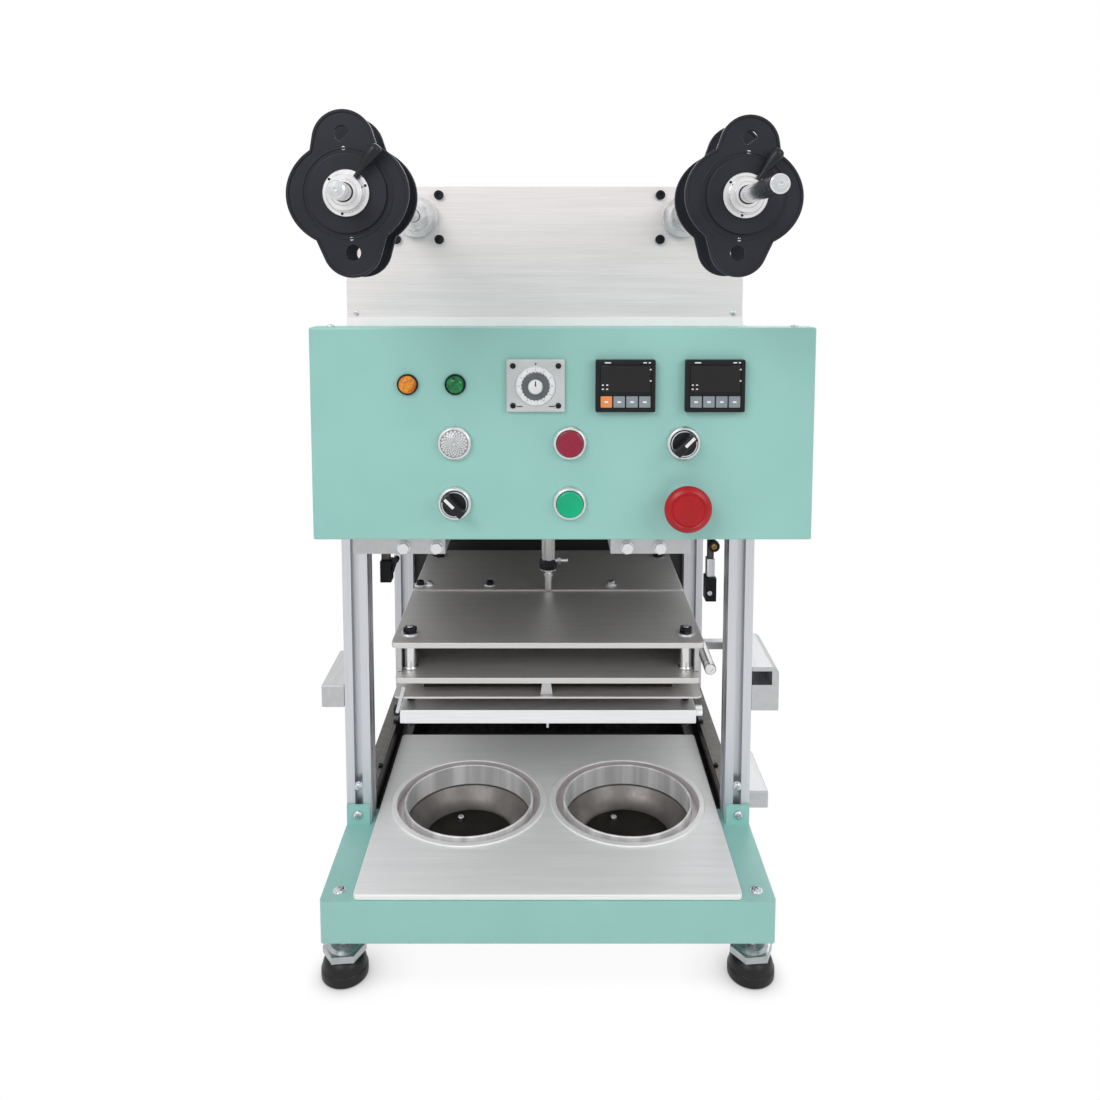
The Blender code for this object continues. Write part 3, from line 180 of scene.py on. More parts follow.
# %% [markdown]
# ## Floor
#
# The floor is a large sheet of white card. Seen directly it is shown as white, darkened only where the
# machine stands close above it, so its feet are grounded by soft contact shadows and there is no horizon
# line.

# %% Floor
FLOOR_REACH, CONTACT_REACH = 6.0, 0.05
bm = bmesh.new()
bmesh.ops.create_grid(bm, x_segments=8, y_segments=8, size=FLOOR_REACH)
floor_mesh = bpy.data.meshes.new("studio_floor")
bm.to_mesh(floor_mesh)
bm.free()
floor = bpy.data.objects.new("studio_floor", floor_mesh)
bpy.context.scene.collection.objects.link(floor)
card = bpy.data.materials.new("white_card")
card.use_nodes = True
tree = card.node_tree
tree.nodes.clear()
matt = add(tree, "ShaderNodeBsdfDiffuse", None, {"Color": linear("#ece9e4")})
near = add(tree, "ShaderNodeAmbientOcclusion", {"samples": 16}, {"Distance": CONTACT_REACH}).outputs["AO"]
span = {"Value": near, "From Min": 0.2, "From Max": 0.85, "To Min": 0.25, "To Max": 1.0}
level = add(tree, "ShaderNodeMapRange", None, span).outputs[0]
glow = add(tree, "ShaderNodeEmission", None, {"Color": WHITE, "Strength": level})
mixed(tree, matt, glow, "ShaderNodeOutputMaterial")
floor.data.materials.append(card)
print("floor reaches", FLOOR_REACH, "m")

# %% [markdown]
# ## Finishes
#
# Every finish starts as one Principled shader with the values typical for its material. Small variations of
# colour, roughness and height are laid over it by noise in object space, whose scale is worked out from a
# size in millimetres: a noise of scale 1 / size repeats about once in that size.


# %% Material helpers
def surface(name, colour, roughness, metallic=0.0, **sockets):
    """A material with one Principled shader; further sockets are given by name with _ for a space."""
    made = bpy.data.materials.new(name)
    made.use_nodes = True
    tree = made.node_tree
    tree.nodes.clear()
    values = {"Base Color": linear(colour), "Roughness": roughness, "Metallic": metallic}
    values.update({socket.replace("_", " "): value for socket, value in sockets.items()})
    shader = add(tree, "ShaderNodeBsdfPrincipled", None, values)
    add(tree, "ShaderNodeOutputMaterial", None, {"Surface": shader.outputs[0]})
    return made, tree, shader


def noise(tree, size_mm, stretch=(1, 1, 1), detail=3.0):
    """Noise about size_mm across in object space, drawn out along an axis by stretch."""
    where = add(tree, "ShaderNodeTexCoord").outputs["Object"]
    scale = tuple(1.0 / s for s in stretch)
    mapped = add(tree, "ShaderNodeMapping", None, {"Vector": where, "Scale": scale})
    links = {"Vector": mapped.outputs[0], "Scale": 1.0 / (size_mm * MM), "Detail": detail, "Roughness": 0.55}
    return add(tree, "ShaderNodeTexNoise", None, links).outputs["Fac"]


def vary_colour(tree, shader, fac, dark, pale, low=0.3, high=0.7):
    """Spread two colours over the surface by a noise."""
    ramp = add(tree, "ShaderNodeValToRGB", None, {"Fac": fac})
    for stop, place, colour in zip(ramp.color_ramp.elements, (low, high), (dark, pale)):
        stop.position, stop.color = place, linear(colour)
    tree.links.new(ramp.outputs[0], shader.inputs["Base Color"])


def vary_roughness(tree, shader, fac, low, high):
    """Let the surface run from glossier to duller by a noise."""
    span = {"Value": fac, "From Min": 0.3, "From Max": 0.7, "To Min": low, "To Max": high}
    tree.links.new(add(tree, "ShaderNodeMapRange", None, span).outputs[0], shader.inputs["Roughness"])


def emboss(tree, shader, height, depth_mm, strength=1.0):
    """Bump whose full height is a real depth."""
    links = {"Height": height, "Distance": depth_mm * MM, "Strength": strength}
    tree.links.new(add(tree, "ShaderNodeBump", None, links).outputs[0], shader.inputs["Normal"])


# %% [markdown]
# ### Powder coat and enamel
#
# The mint housing, fascia and base are sheet steel with a polyester powder coat, sprayed dry and baked. It
# flows out to a satin skin with a faint orange peel about 1.5 mm across, so highlights are broad and
# slightly broken. The panel behind the head is enamelled black, with a finer peel.

# %% Powder coat
coat = {"IOR": 1.5, "Coat_Weight": 0.1, "Coat_Roughness": 0.25}
mint_coat, tree, shader = surface("mint_powder_coat", "#98cdc6", 0.38, **coat)
vary_colour(tree, shader, noise(tree, 90, detail=2.0), "#95cac3", "#9bd0c9")
vary_roughness(tree, shader, noise(tree, 12), 0.33, 0.41)
emboss(tree, shader, noise(tree, 1.5, detail=1.0), 0.012, 0.35)

black_enamel, tree, shader = surface("black_enamel", "#17181a", 0.42, IOR=1.5)
vary_colour(tree, shader, noise(tree, 60), "#131416", "#1c1d20")
emboss(tree, shader, noise(tree, 1.2, detail=1.0), 0.010, 0.3)

# %% [markdown]
# ### Brushed stainless steel
#
# The tray, the reel panel and the head plates are ground with a fine belt. The belt leaves lines about 0.3
# mm apart and many centimetres long, which spread reflections across the grain. A noise drawn out along the
# grain makes the lines; a second, coarser one gives the broad streaks. One function serves each direction
# of grain. On panel, tray and head the grain is so matt that part of the light scatters as from paint, so
# metallic stays under one there. The panel is written a touch warm, because the mint housing throws its own
# colour on it.

# %% Brushed steel
GRAIN_STRETCH, LINE_MM, STREAK_MM = 160.0, 0.35, 6.0


def brushed(name, dark, pale, roughness, along, metallic=1.0, depth_mm=0.004):
    """Steel with belt lines along one axis."""
    made, tree, shader = surface(name, pale, roughness, metallic)
    stretch = tuple(GRAIN_STRETCH if axis == along else 1.0 for axis in "xyz")
    lines = noise(tree, LINE_MM, stretch, detail=2.0)
    streaks = noise(tree, STREAK_MM, tuple(1 + (s - 1) * 0.2 for s in stretch), detail=2.0)
    blend = {"Factor": 0.3, "A": lines, "B": streaks}
    grain = add(tree, "ShaderNodeMix", {"data_type": "FLOAT"}, blend).outputs["Result"]
    vary_colour(tree, shader, grain, dark, pale, 0.36, 0.64)
    vary_roughness(tree, shader, lines, roughness - 0.06, roughness + 0.07)
    emboss(tree, shader, lines, depth_mm, 0.35)
    return made


panel_steel = brushed("panel_brushed_steel", "#ddd7d7", "#ede7e7", 0.58, "x", 0.6)
tray_steel = brushed("tray_brushed_steel", "#f0f0f0", "#fcfcfc", 0.60, "x", 0.4)
head_steel = brushed("head_ground_steel", "#cfcdcb", "#dddbd9", 0.50, "x", 0.85, 0.002)
bar_steel = brushed("bar_drawn_steel", "#b6b7b8", "#c8c9ca", 0.42, "y")
# The foot strip is written near white as painted light.
foot_strip_painted_light = brushed("foot_strip_steel", "#fbf4f4", "#fffafa", 0.62, "x", 0.2)

# %% [markdown]
# ### Anodised aluminium profile
#
# The columns are pressed through a die and anodised, which leaves a matt, slightly milky grey with faint
# lines along the length. The clear oxide film over the metal scatters light, so it is rougher and paler
# than bare metal. The seal bar is milled, and its lines run across.

# %% Anodised aluminium
profile_alloy, tree, shader = surface("anodised_profile", "#cdcfd4", 0.46, 0.85)
die_lines = noise(tree, 0.5, (1, 1, 200), detail=2.0)
vary_colour(tree, shader, die_lines, "#c9cbd0", "#d8dadf")
vary_roughness(tree, shader, die_lines, 0.38, 0.47)
emboss(tree, shader, die_lines, 0.006, 0.3)

seal_alloy, tree, shader = surface("milled_aluminium", "#eaebec", 0.44, 0.95)
mill_lines = noise(tree, 0.8, (60, 1, 1), detail=2.0)
vary_colour(tree, shader, mill_lines, "#e6e7e8", "#f2f3f4")
emboss(tree, shader, mill_lines, 0.004, 0.3)

# %% [markdown]
# ### Turned and plated metals
#
# Shafts and posts are ground and hard-chromed: nearly a mirror, with rings from the lathe. Nuts, screws and
# washers are zinc-plated steel, a little softer and bluish. Cup holders are turned from stainless steel,
# whose lathe rings run around their axis and draw each reflection out along it into an upright streak;
# this streak is a painted reflection, a noise drawn out along Z in the colour. Their lower wall is
# painted darker as painted shade.


# %% Plated metals
def plated(name, dark, pale, roughness, grain_mm=4.0, spread=0.05, depth_mm=0.002):
    """Metal with soft clouds of tone and gloss."""
    made, tree, shader = surface(name, pale, roughness, 1.0)
    clouds = noise(tree, grain_mm)
    vary_colour(tree, shader, clouds, dark, pale)
    vary_roughness(tree, shader, clouds, max(roughness - spread, 0.04), roughness + spread)
    emboss(tree, shader, noise(tree, 2.5, detail=1.0), depth_mm, 0.2)
    return made


chrome = plated("hard_chrome", "#d6d6d7", "#e4e4e5", 0.14, 30.0, 0.03, 0.0004)
zinc = plated("zinc_plated_steel", "#c6c9cc", "#d2d4d7", 0.28, 3.0)
pale_zinc = plated("bright_zinc", "#dcdee0", "#e9eaec", 0.32, 3.0)
oxide_steel = plated("black_oxide_steel", "#232426", "#34353a", 0.38, 3.0)
# This oiled steel also serves as painted shade inside the base behind the columns.
rail_and_shade_steel = plated("oiled_rail_steel_and_painted_shade", "#4c4a48", "#64615e", 0.36, 8.0)
foot_zinc = plated("dull_zinc_steel", "#a4a7aa", "#b2b5b8", 0.30, 6.0)
turned_steel = plated("turned_stainless", "#d8d8d9", "#e6e6e7", 0.30, 10.0)
heater_steel = plated("blued_heater_steel", "#2c2926", "#3c3833", 0.5, 12.0)
brass = plated("turned_brass", "#9c7a3c", "#b8954f", 0.28, 3.0)

# %% [markdown]
# The metals of the cups are satin rather than mirror, and the chamber below the ledge is painted darker as
# painted shade.

# %% Metals of the cups
wall_steel_painted_streaks, tree, shader = surface("satin_turned_steel_painted_streaks", "#f4f4f4", 0.5, 0.3)
# Pale upright streaks in the wall's colour are painted reflections.
vary_colour(tree, shader, noise(tree, 16, (1, 1, 40)), "#dcdcdd", "#ffffff", 0.40, 0.66)
vary_roughness(tree, shader, noise(tree, 16, (1, 1, 40)), 0.42, 0.56)

ring_steel, tree, shader = surface("bright_ring_steel", "#fafafa", 0.5, 0.3)
vary_colour(tree, shader, noise(tree, 14), "#f6f6f6", "#fefefe")
vary_roughness(tree, shader, noise(tree, 9), 0.46, 0.54)

# The chamber below the ledge is written dark grey: painted shade.
chamber_painted_shade, tree, shader = surface("chamber_steel_painted_shade", "#7a7674", 0.42, 0.85)
vary_colour(tree, shader, noise(tree, 18), "#74706e", "#84807d")
vary_roughness(tree, shader, noise(tree, 3), 0.40, 0.50)
emboss(tree, shader, noise(tree, 2.5, (30, 30, 1)), 0.004, 0.2)

# %% [markdown]
# ### Plastics and rubber
#
# The reel discs and the knobs are moulded in black ABS from a finely spark-eroded tool, a grain of about
# 0.4 mm. The keys are silicone, the feet are nitrile rubber, and the timer's plate is pale ABS. All of them
# are dielectrics with an index near 1.5, so only their colour, roughness and grain set them apart. The dark
# ones reflect a little less than the index says, because their fine grain swallows part of the surround's
# white.


# %% Plastics
def moulded(name, dark, pale, roughness, grain_mm=0.4, depth_mm=0.008, index=1.53, specular=0.5):
    """Plastic with a fine grain and broad clouds of tone."""
    made, tree, shader = surface(name, pale, roughness, IOR=index, Specular_IOR_Level=specular)
    vary_colour(tree, shader, noise(tree, CLOUDS_MM), dark, pale)
    vary_roughness(tree, shader, noise(tree, CLOUDS_MM / 3), roughness - 0.04, roughness + 0.05)
    emboss(tree, shader, noise(tree, grain_mm, detail=2.0), depth_mm, 0.3)
    return made


CLOUDS_MM = 25.0
disc_abs = moulded("moulded_black_abs", "#1c1d25", "#23242d", 0.42, specular=0.25)
knob_abs = moulded("knob_black_abs", "#17181b", "#1e1f23", 0.33, specular=0.25)
case_abs = moulded("case_black_abs", "#15161a", "#1c1d21", 0.40, specular=0.2)
plate_abs = moulded("plate_pale_abs", "#c3c8ca", "#d0d4d6", 0.42)
scale_abs = moulded("dial_grey_abs", "#55595d", "#646a6e", 0.38)
print_ink = moulded("black_print_ink", "#1c1e20", "#26282b", 0.55, index=1.5)
white_ink = moulded("white_print_ink", "#e3e5e6", "#f0f1f2", 0.5, index=1.5)
grey_key = moulded("grey_silicone_key", "#7f8a90", "#8e999f", 0.48, index=1.41)
orange_key = moulded("orange_silicone_key", "#e38a4c", "#ee9c60", 0.48, index=1.41)
rubber = moulded("nitrile_rubber", "#101012", "#161618", 0.38, 0.8, 0.01, 1.52, 0.3)
stop_red = moulded("stop_red_abs", "#a61018", "#b2161e", 0.28, 0.3, 0.003, specular=0.3)
button_red = moulded("button_red_abs", "#8c1c34", "#9a2440", 0.26, 0.3, 0.003, specular=0.3)
button_green = moulded("button_green_abs", "#00a878", "#0ab886", 0.26, 0.3, 0.003, specular=0.3)

# %% [markdown]
# ### Lenses and windows
#
# The pilot lamps have tinted polycarbonate lenses over a diffuser, and the controllers have a smoked
# acrylic window. A lamp that is off shows the deep colour of its diffuser under a glossy skin; only the
# clear lens lets light through. Pale and dark patches of the tint are painted glints, and the darker
# copy of the clear finish is painted shade on the clear lamp's facets.


# %% Lenses
def lens(name, dark, pale, through, roughness=0.10):
    """A glossy tinted plastic; through is the share of light that passes."""
    values = {"IOR": 1.58, "Transmission_Weight": through, "Specular_IOR_Level": 0.3}
    made, tree, shader = surface(name, pale, roughness, **values)
    # On the amber and green lenses the wide spread of dark and pale tint paints glints: a painted highlight.
    vary_colour(tree, shader, noise(tree, 5), dark, pale)
    emboss(tree, shader, noise(tree, 1.5), 0.006, 0.3)
    return made


amber_lens = lens("amber_polycarbonate", "#b85604", "#ffa630", 0.0)
green_lens = lens("green_polycarbonate", "#003e1c", "#0c9450", 0.0)
clear_lens = lens("clear_polycarbonate", "#eceff1", "#fafbfc", 0.2)
# A darker copy of the clear finish, painted shade on every other facet.
painted_shade_lens = lens("clear_polycarbonate_painted_shade", "#a2a6aa", "#c2c6ca", 0.2)
smoked_window = lens("smoked_acrylic", "#040406", "#08080b", 0.0, 0.08)
print("finishes:", len(bpy.data.materials))

# %% [markdown]
# ## Finishes for the solids
#
# Solids whose shape is already right keep their mesh and only change their material. Each name on the left
# begins the names of the nodes that take the finish.

# %% Assign finishes
FINISH = {
    "rear_panel": black_enamel,
    "guide_block_left": bar_steel,
    "reel_panel_foot": foot_strip_painted_light,
    "timer_plate": plate_abs,
    "temperature_controller_": case_abs,
    "left_selector_knob": knob_abs,
    "right_selector_knob": knob_abs,
    "heater_block": heater_steel,
    "press_cylinder": profile_alloy,
    "tray_rail_": rail_and_shade_steel,
    "film_bracket_": bar_steel,
    "column_": profile_alloy,
}
for start, material in FINISH.items():
    for data in [NODES[name].data for name in NODES if name.startswith(start)]:
        data.materials.clear()
        data.materials.append(material)
    print(start, "takes", material.name)

# %% [markdown]
# ## Shapes
#
# Nearly every part of a machine is turned, sawn from bar or punched from sheet. So there are three makers:
# one spins a profile like a lathe, one makes a block with eased edges, and one punches a plate, with holes,
# from outlines. A curve object does the punching, because it fills between outlines and rounds the edges by
# itself.

# %% Shape makers
LARGE_FACE, SQUARE, MERGE = 0.0005, 0.99999, 1e-7


def shaded(bm):
    """Shade round faces smooth, while a large face, or one square to an axis, keeps its own plain normal."""
    bm.normal_update()
    for face in bm.faces:
        square = max(abs(part) for part in face.normal) > SQUARE
        face.smooth = not square and face.calc_area() < LARGE_FACE
    return bm


def lathe(profile, steps=48, closed=False):
    """Spin (radius, height) points about Z; a closed profile makes a ring."""
    bm = bmesh.new()
    verts = [bm.verts.new((radius, 0, height)) for radius, height in profile]
    pairs = list(zip(verts, verts[1:])) + ([(verts[-1], verts[0])] if closed else [])
    edges = [bm.edges.new(pair) for pair in pairs]
    around = {"cent": (0, 0, 0), "axis": (0, 0, 1), "angle": math.tau, "steps": steps, "use_merge": True}
    bmesh.ops.spin(bm, geom=verts + edges, **around)
    bmesh.ops.remove_doubles(bm, verts=bm.verts, dist=MERGE)
    bmesh.ops.recalc_face_normals(bm, faces=bm.faces)
    return shaded(bm)


def block(low, high, bevel):
    """A bar between two corners, with rounded edges."""
    bm = bmesh.new()
    bmesh.ops.create_cube(bm, size=1.0)
    low, high = Vector(low), Vector(high)
    bmesh.ops.scale(bm, vec=high - low, verts=bm.verts)
    bmesh.ops.translate(bm, vec=(low + high) / 2, verts=bm.verts)
    if bevel:
        bmesh.ops.bevel(bm, geom=bm.edges[:], offset=bevel, segments=2, profile=0.5, affect="EDGES")
    return shaded(bm)


# %% Outlines
def circle(radius, at=(0, 0), steps=32):
    """Points around a place."""
    turns = [math.tau * i / steps for i in range(steps)]
    return [(at[0] + radius * math.cos(t), at[1] + radius * math.sin(t)) for t in turns]


def rounded(low, high, radius, steps=6):
    """A rectangle with round corners."""
    right, left, below, above = high[0] - radius, low[0] + radius, low[1] + radius, high[1] - radius
    points = []
    for quarter, (x, y) in enumerate(((right, below), (right, above), (left, above), (left, below))):
        turns = [(quarter - 1 + i / steps) * math.pi / 2 for i in range(steps + 1)]
        points += [(x + radius * math.cos(t), y + radius * math.sin(t)) for t in turns]
    return points


# %% Plates and carving
def plate(outlines, bottom, top, bevel=0.0004):
    """A plate punched from outlines: the first is its edge and the others are holes."""
    curve = bpy.data.curves.new("outline", "CURVE")
    curve.dimensions, curve.fill_mode = "2D", "BOTH"
    curve.extrude, curve.bevel_depth, curve.offset = (top - bottom) / 2 - bevel, bevel, -bevel
    curve.bevel_resolution = 1
    for points in outlines:
        spline = curve.splines.new("POLY")
        spline.points.add(len(points) - 1)
        for point, (x, y) in zip(spline.points, points):
            point.co = (x, y, 0, 1)
        spline.use_cyclic_u = True
    bm = evaluated(bpy.data.objects.new("outline", curve))
    bmesh.ops.translate(bm, vec=(0, 0, (bottom + top) / 2), verts=bm.verts)
    return bm


def evaluated(guide, others=()):
    """The mesh that a guide object's curve or modifiers make, with the guides removed again."""
    bpy.context.scene.collection.objects.link(guide)
    graph = bpy.context.evaluated_depsgraph_get()
    mesh = bpy.data.meshes.new_from_object(guide.evaluated_get(graph))
    bm = bmesh.new()
    bm.from_mesh(mesh)
    bmesh.ops.remove_doubles(bm, verts=bm.verts, dist=MERGE)
    bpy.data.meshes.remove(mesh)
    for made in (guide, *others):
        bpy.data.objects.remove(made)
    return shaded(bm)


def as_object(shape):
    """Turn a shape into an object that a modifier can use."""
    mesh = bpy.data.meshes.new("shape")
    shape.to_mesh(mesh)
    shape.free()
    return bpy.data.objects.new("shape", mesh)


def carved(shape, cutters):
    """Cut shapes out of another with an exact Boolean."""
    guide = as_object(shape)
    tools = [as_object(cutter) for cutter in cutters]
    for tool in tools:
        bpy.context.scene.collection.objects.link(tool)
        cut = guide.modifiers.new("cut", "BOOLEAN")
        cut.operation, cut.object = "DIFFERENCE", tool
    return evaluated(guide, tools)


# %% Placing
def placed(shape, at, facing=UPWARD, spin=0.0):
    """Move a shape drawn about Z so that its Z points along facing and its origin is at a place."""
    turn = Vector(facing).normalized().to_track_quat("Z", "Y").to_matrix().to_4x4()
    shape.transform(Matrix.Translation(Vector(at)) @ turn @ Matrix.Rotation(spin, 4, "Z"))
    return shape


def turned(profile, at, steps=48, closed=False, facing=FRONTWARD):
    """A lathe shape in its place, facing the front unless told otherwise."""
    return placed(lathe(profile, steps, closed), at, facing)


def rod(radius, start, end, steps=24, bevel=0.0):
    """A round bar between two places, with eased ends."""
    start, end = Vector(start), Vector(end)
    length = (end - start).length
    side = [(radius, bevel), (radius, length - bevel)]
    profile = [(0, 0), (radius - bevel, 0)] + side + [(radius - bevel, length), (0, length)]
    return turned(profile, start, steps, facing=end - start)


# %% [markdown]
# ## Pieces
#
# A piece joins its shapes into one mesh, each shape with its own finish, and is tied to the body that it
# moves with. Edges sharper than 35 degrees stay crisp. Marking them resets the flat faces, so these are set
# again afterwards.

# %% Piece maker
CRISP_ANGLE = math.radians(35)


def piece(name, shapes, body="frame", stands_for=()):
    """One object from several shapes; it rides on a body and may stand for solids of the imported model."""
    mesh = bpy.data.meshes.new(name)
    whole = bmesh.new()
    for shape, material in shapes:
        if mesh.materials.find(material.name) < 0:
            mesh.materials.append(material)
        for face in shape.faces:
            face.material_index = mesh.materials.find(material.name)
        part = bpy.data.meshes.new("part")
        shape.to_mesh(part)
        shape.free()
        whole.from_mesh(part)
        bpy.data.meshes.remove(part)
    whole.to_mesh(mesh)
    whole.free()
    smooth = [face.use_smooth for face in mesh.polygons]
    mesh.set_sharp_from_angle(angle=CRISP_ANGLE)
    mesh.polygons.foreach_set("use_smooth", smooth)
    made = bpy.data.objects.new(name, mesh)
    bpy.context.scene.collection.objects.link(made)
    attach(made, body)
    if stands_for:
        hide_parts(*stands_for)


def box_of(node):
    """The lowest and the highest corner of a solid."""
    low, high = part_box(node)
    return Vector(low), Vector(high)


def middle(node):
    """The middle of a solid's box."""
    low, high = box_of(node)
    return (low + high) / 2


# %% [markdown]
# ## Folded sheet metal
#
# Base, fascia and housing are sheet folded on a press brake, whose edges come out round, with a radius near
# the sheet's thickness. Such an edge draws a thin pale or dark line, so these solids are rounded here. The
# deck's left end is drawn in to the fascia's side. Behind the front columns the faces of the base that look
# up or into the frame are painted dark with oiled steel as painted shade, and a black sheet under the
# opening is painted shade as well.

# %% Rounding a solid
FLAT_ANGLE, ON_WALL = 0.005, 1e-5


def softened(node, radius, segments=4):
    """A solid's own mesh with the edges of its outer box rounded."""
    walls = box_of(node)
    bm = bmesh.new()
    bm.from_mesh(NODES[node].data)
    bmesh.ops.remove_doubles(bm, verts=bm.verts, dist=MERGE)
    bmesh.ops.dissolve_limit(bm, angle_limit=FLAT_ANGLE, verts=bm.verts, edges=bm.edges)
    for face in bm.faces:
        face.smooth = False
    outer = []
    for edge in bm.edges:
        ends = [vert.co for vert in edge.verts]
        touched = [
            i for i in range(3) for wall in walls
            if max(abs(end[i] - wall[i]) for end in ends) < ON_WALL
        ]
        if len(touched) > 1 and len(edge.link_faces) == 2:
            outer.append(edge)
    rounding = {"offset": radius, "segments": segments, "profile": 0.5, "affect": "EDGES"}
    for face in bmesh.ops.bevel(bm, geom=outer, **rounding)["faces"]:
        face.smooth = True
    return bm


# %% Base
FOLD_RADIUS, BASE_FOLD, SHADE_SHEET_IN, SHADE_SHEET_LOW, SHADE_SHEET_HIGH = 0.0022, 0.0026, 0.012, 0.0002, 0.0014
base = softened("base_frame", BASE_FOLD)
cut_y = box_of("column_front_left")[1].y
inside = box_of("column_front_right")[1].x - 0.0005
everything = base.verts[:] + base.edges[:] + base.faces[:]
bmesh.ops.bisect_plane(base, geom=everything, plane_co=(0, cut_y, 0), plane_no=(0, 1, 0))
# The copy keeps the faces behind the columns, which take dark oiled steel as painted shade.
painted_shade_faces = base.copy()


def shows_dark(face):
    """True for a face behind the front columns that looks up or into the frame; it takes painted shade."""
    place = face.calc_center_median()
    behind = cut_y < place.y < base_high.y - BASE_FOLD
    return behind and place.z > base_low.z + 0.001 and (face.normal.z > 0.5 or abs(place.x) < inside)


for shape, wanted in ((base, False), (painted_shade_faces, True)):
    shape.normal_update()
    spare = [face for face in shape.faces if shows_dark(face) != wanted]
    bmesh.ops.delete(shape, geom=spare, context="FACES")
# A thin black sheet under the frame's opening is painted shade.
shade_sheet_low = (base_low.x + SHADE_SHEET_IN, base_low.y + SHADE_SHEET_IN, base_low.z + SHADE_SHEET_LOW)
shade_sheet = block(shade_sheet_low, (base_high.x - SHADE_SHEET_IN, base_high.y - SHADE_SHEET_IN, base_low.z + SHADE_SHEET_HIGH), 0.0003)
shapes = [(base, mint_coat), (painted_shade_faces, rail_and_shade_steel), (shade_sheet, black_enamel)]
piece("folded_base", shapes, stands_for=["base_frame"])
print("base folded, dark behind y =", round(cut_y, 3))

# %% Fascia, housing, deck and guide block
DECK_EASE, GUIDE_END = 0.0006, 0.1325
for node, name in (("control_fascia", "folded_fascia"), ("upper_housing", "folded_housing")):
    piece(name, [(softened(node, FOLD_RADIUS), mint_coat)], stands_for=[node])
fascia_low, fascia_high = box_of("control_fascia")
deck = softened("deck_plate", DECK_EASE, 2)
for vert in deck.verts:
    vert.co.x = max(vert.co.x, fascia_low.x)
piece("deck_sheet", [(deck, bar_steel)], stands_for=["deck_plate"])
guide_low, guide_high = box_of("guide_block_right")
guide = block(guide_low, (GUIDE_END, guide_high.y, guide_high.z), DECK_EASE)
piece("short_guide_block", [(guide, bar_steel)], stands_for=["guide_block_right"])
print("sheet metal folded")

# %% [markdown]
# ## Screws, nuts and washers
#
# Pan heads with a cross recess hold the sheet metal, socket heads hold the bearings, and hexagon nuts clamp
# the posts. Each is made once at a radius of one and then scaled, as a fastener comes in sizes of one
# shape.

# %% Fasteners
pan_head = lathe([(0, 0), (1, 0), (1, 0.22), (0.9, 0.44), (0.62, 0.6), (0.3, 0.66), (0, 0.67)], 28)
arms = [block((-0.52, -0.12, 0.3), (0.52, 0.12, 1), 0), block((-0.12, -0.52, 0.3), (0.12, 0.52, 1), 0)]
CROSS_HEAD = carved(pan_head, arms)
cap_head = lathe([(0, 0), (1, 0), (1, 0.78), (0.88, 0.9), (0, 0.9)], 32)
SOCKET_HEAD = carved(cap_head, [plate([circle(0.56, steps=6)], 0.35, 1.2, 0.0001)])


def screw(head, radius, at, facing=UPWARD, spin=0.35):
    """A screw head of a given radius."""
    made = head.copy()
    bmesh.ops.scale(made, vec=(radius, radius, radius), verts=made.verts)
    return placed(made, at, facing, spin)


def hexagon(across_flats, height, at, facing=UPWARD, spin=0.0):
    """A nut or a bolt's head."""
    outline = circle(across_flats / math.sqrt(3), steps=6)
    return placed(plate([outline], 0, height, height * 0.1), at, facing, spin)


def washer(radius, bore, height, at, facing=UPWARD):
    """A flat ring with an eased rim."""
    ring = [(bore, 0), (radius, 0), (radius, height * 0.8), (radius * 0.97, height), (bore, height)]
    return turned(ring, at, 40, True, facing)


def threaded(radius, length, pitch, at):
    """An upright stud whose thread is a row of fine ridges."""
    turns = int(length / pitch)
    profile = [(0, 0)]
    for turn in range(turns):
        profile += [(radius * 0.88, turn * pitch), (radius, (turn + 0.5) * pitch)]
    profile += [(radius * 0.88, turns * pitch), (radius * 0.8, length), (0, length)]
    return turned(profile, at, 24, facing=UPWARD)


print("screw heads carved:", len(CROSS_HEAD.faces), "and", len(SOCKET_HEAD.faces), "faces")

# %% [markdown]
# ## Levelling feet
#
# A moulded rubber bell with a rim, a broad hexagon that a wrench turns, and a threaded stud up into the
# frame. The bell is black and slightly shiny, so only its rim catches a line of light.

# %% Levelling feet
PAD_RADIUS, PAD_HEIGHT, RIM_HEIGHT = 0.0219, 0.0218, 0.0094
FOOT_FLATS, FOOT_NUT_TOP, STUD_RADIUS, STUD_PITCH = 0.0352, 0.0289, 0.0043, 0.00125
BELL = [(0.94, 0), (0.995, 0.0014), (1, RIM_HEIGHT * 0.5), (0.995, RIM_HEIGHT - 0.0010), (0.965, RIM_HEIGHT)]
BELL += [(0.945, RIM_HEIGHT + 0.0006), (0.92, 0.0140), (0.84, 0.0180), (0.70, PAD_HEIGHT - 0.0008)]
BELL += [(0.64, PAD_HEIGHT), (0, PAD_HEIGHT)]
bell = [(0, 0)] + [(PAD_RADIUS * share, height) for share, height in BELL]
cone = [(0, 0), (FOOT_FLATS * 0.44, 0), (FOOT_FLATS * 0.36, 0.0022), (0, 0.0022)]

for end in ("front", "rear"):
    for side in SIDES:
        node = f"levelling_foot_{end}_{side}"
        low, high = box_of(node)
        centre = Vector(((low.x + high.x) / 2, (low.y + high.y) / 2, 0))
        nut_base = centre + Vector((0, 0, PAD_HEIGHT))
        stud_base = centre + Vector((0, 0, FOOT_NUT_TOP))
        shapes = [
            (turned(bell, centre, 64, facing=UPWARD), rubber),
            (hexagon(FOOT_FLATS, FOOT_NUT_TOP - PAD_HEIGHT, nut_base, spin=0.1), foot_zinc),
            (turned(cone, stud_base, facing=UPWARD), foot_zinc),
            (threaded(STUD_RADIUS, high.z - FOOT_NUT_TOP, STUD_PITCH, stud_base), zinc),
        ]
        piece(f"foot_{end}_{side}", shapes, stands_for=[node])
print("feet dressed: 4")

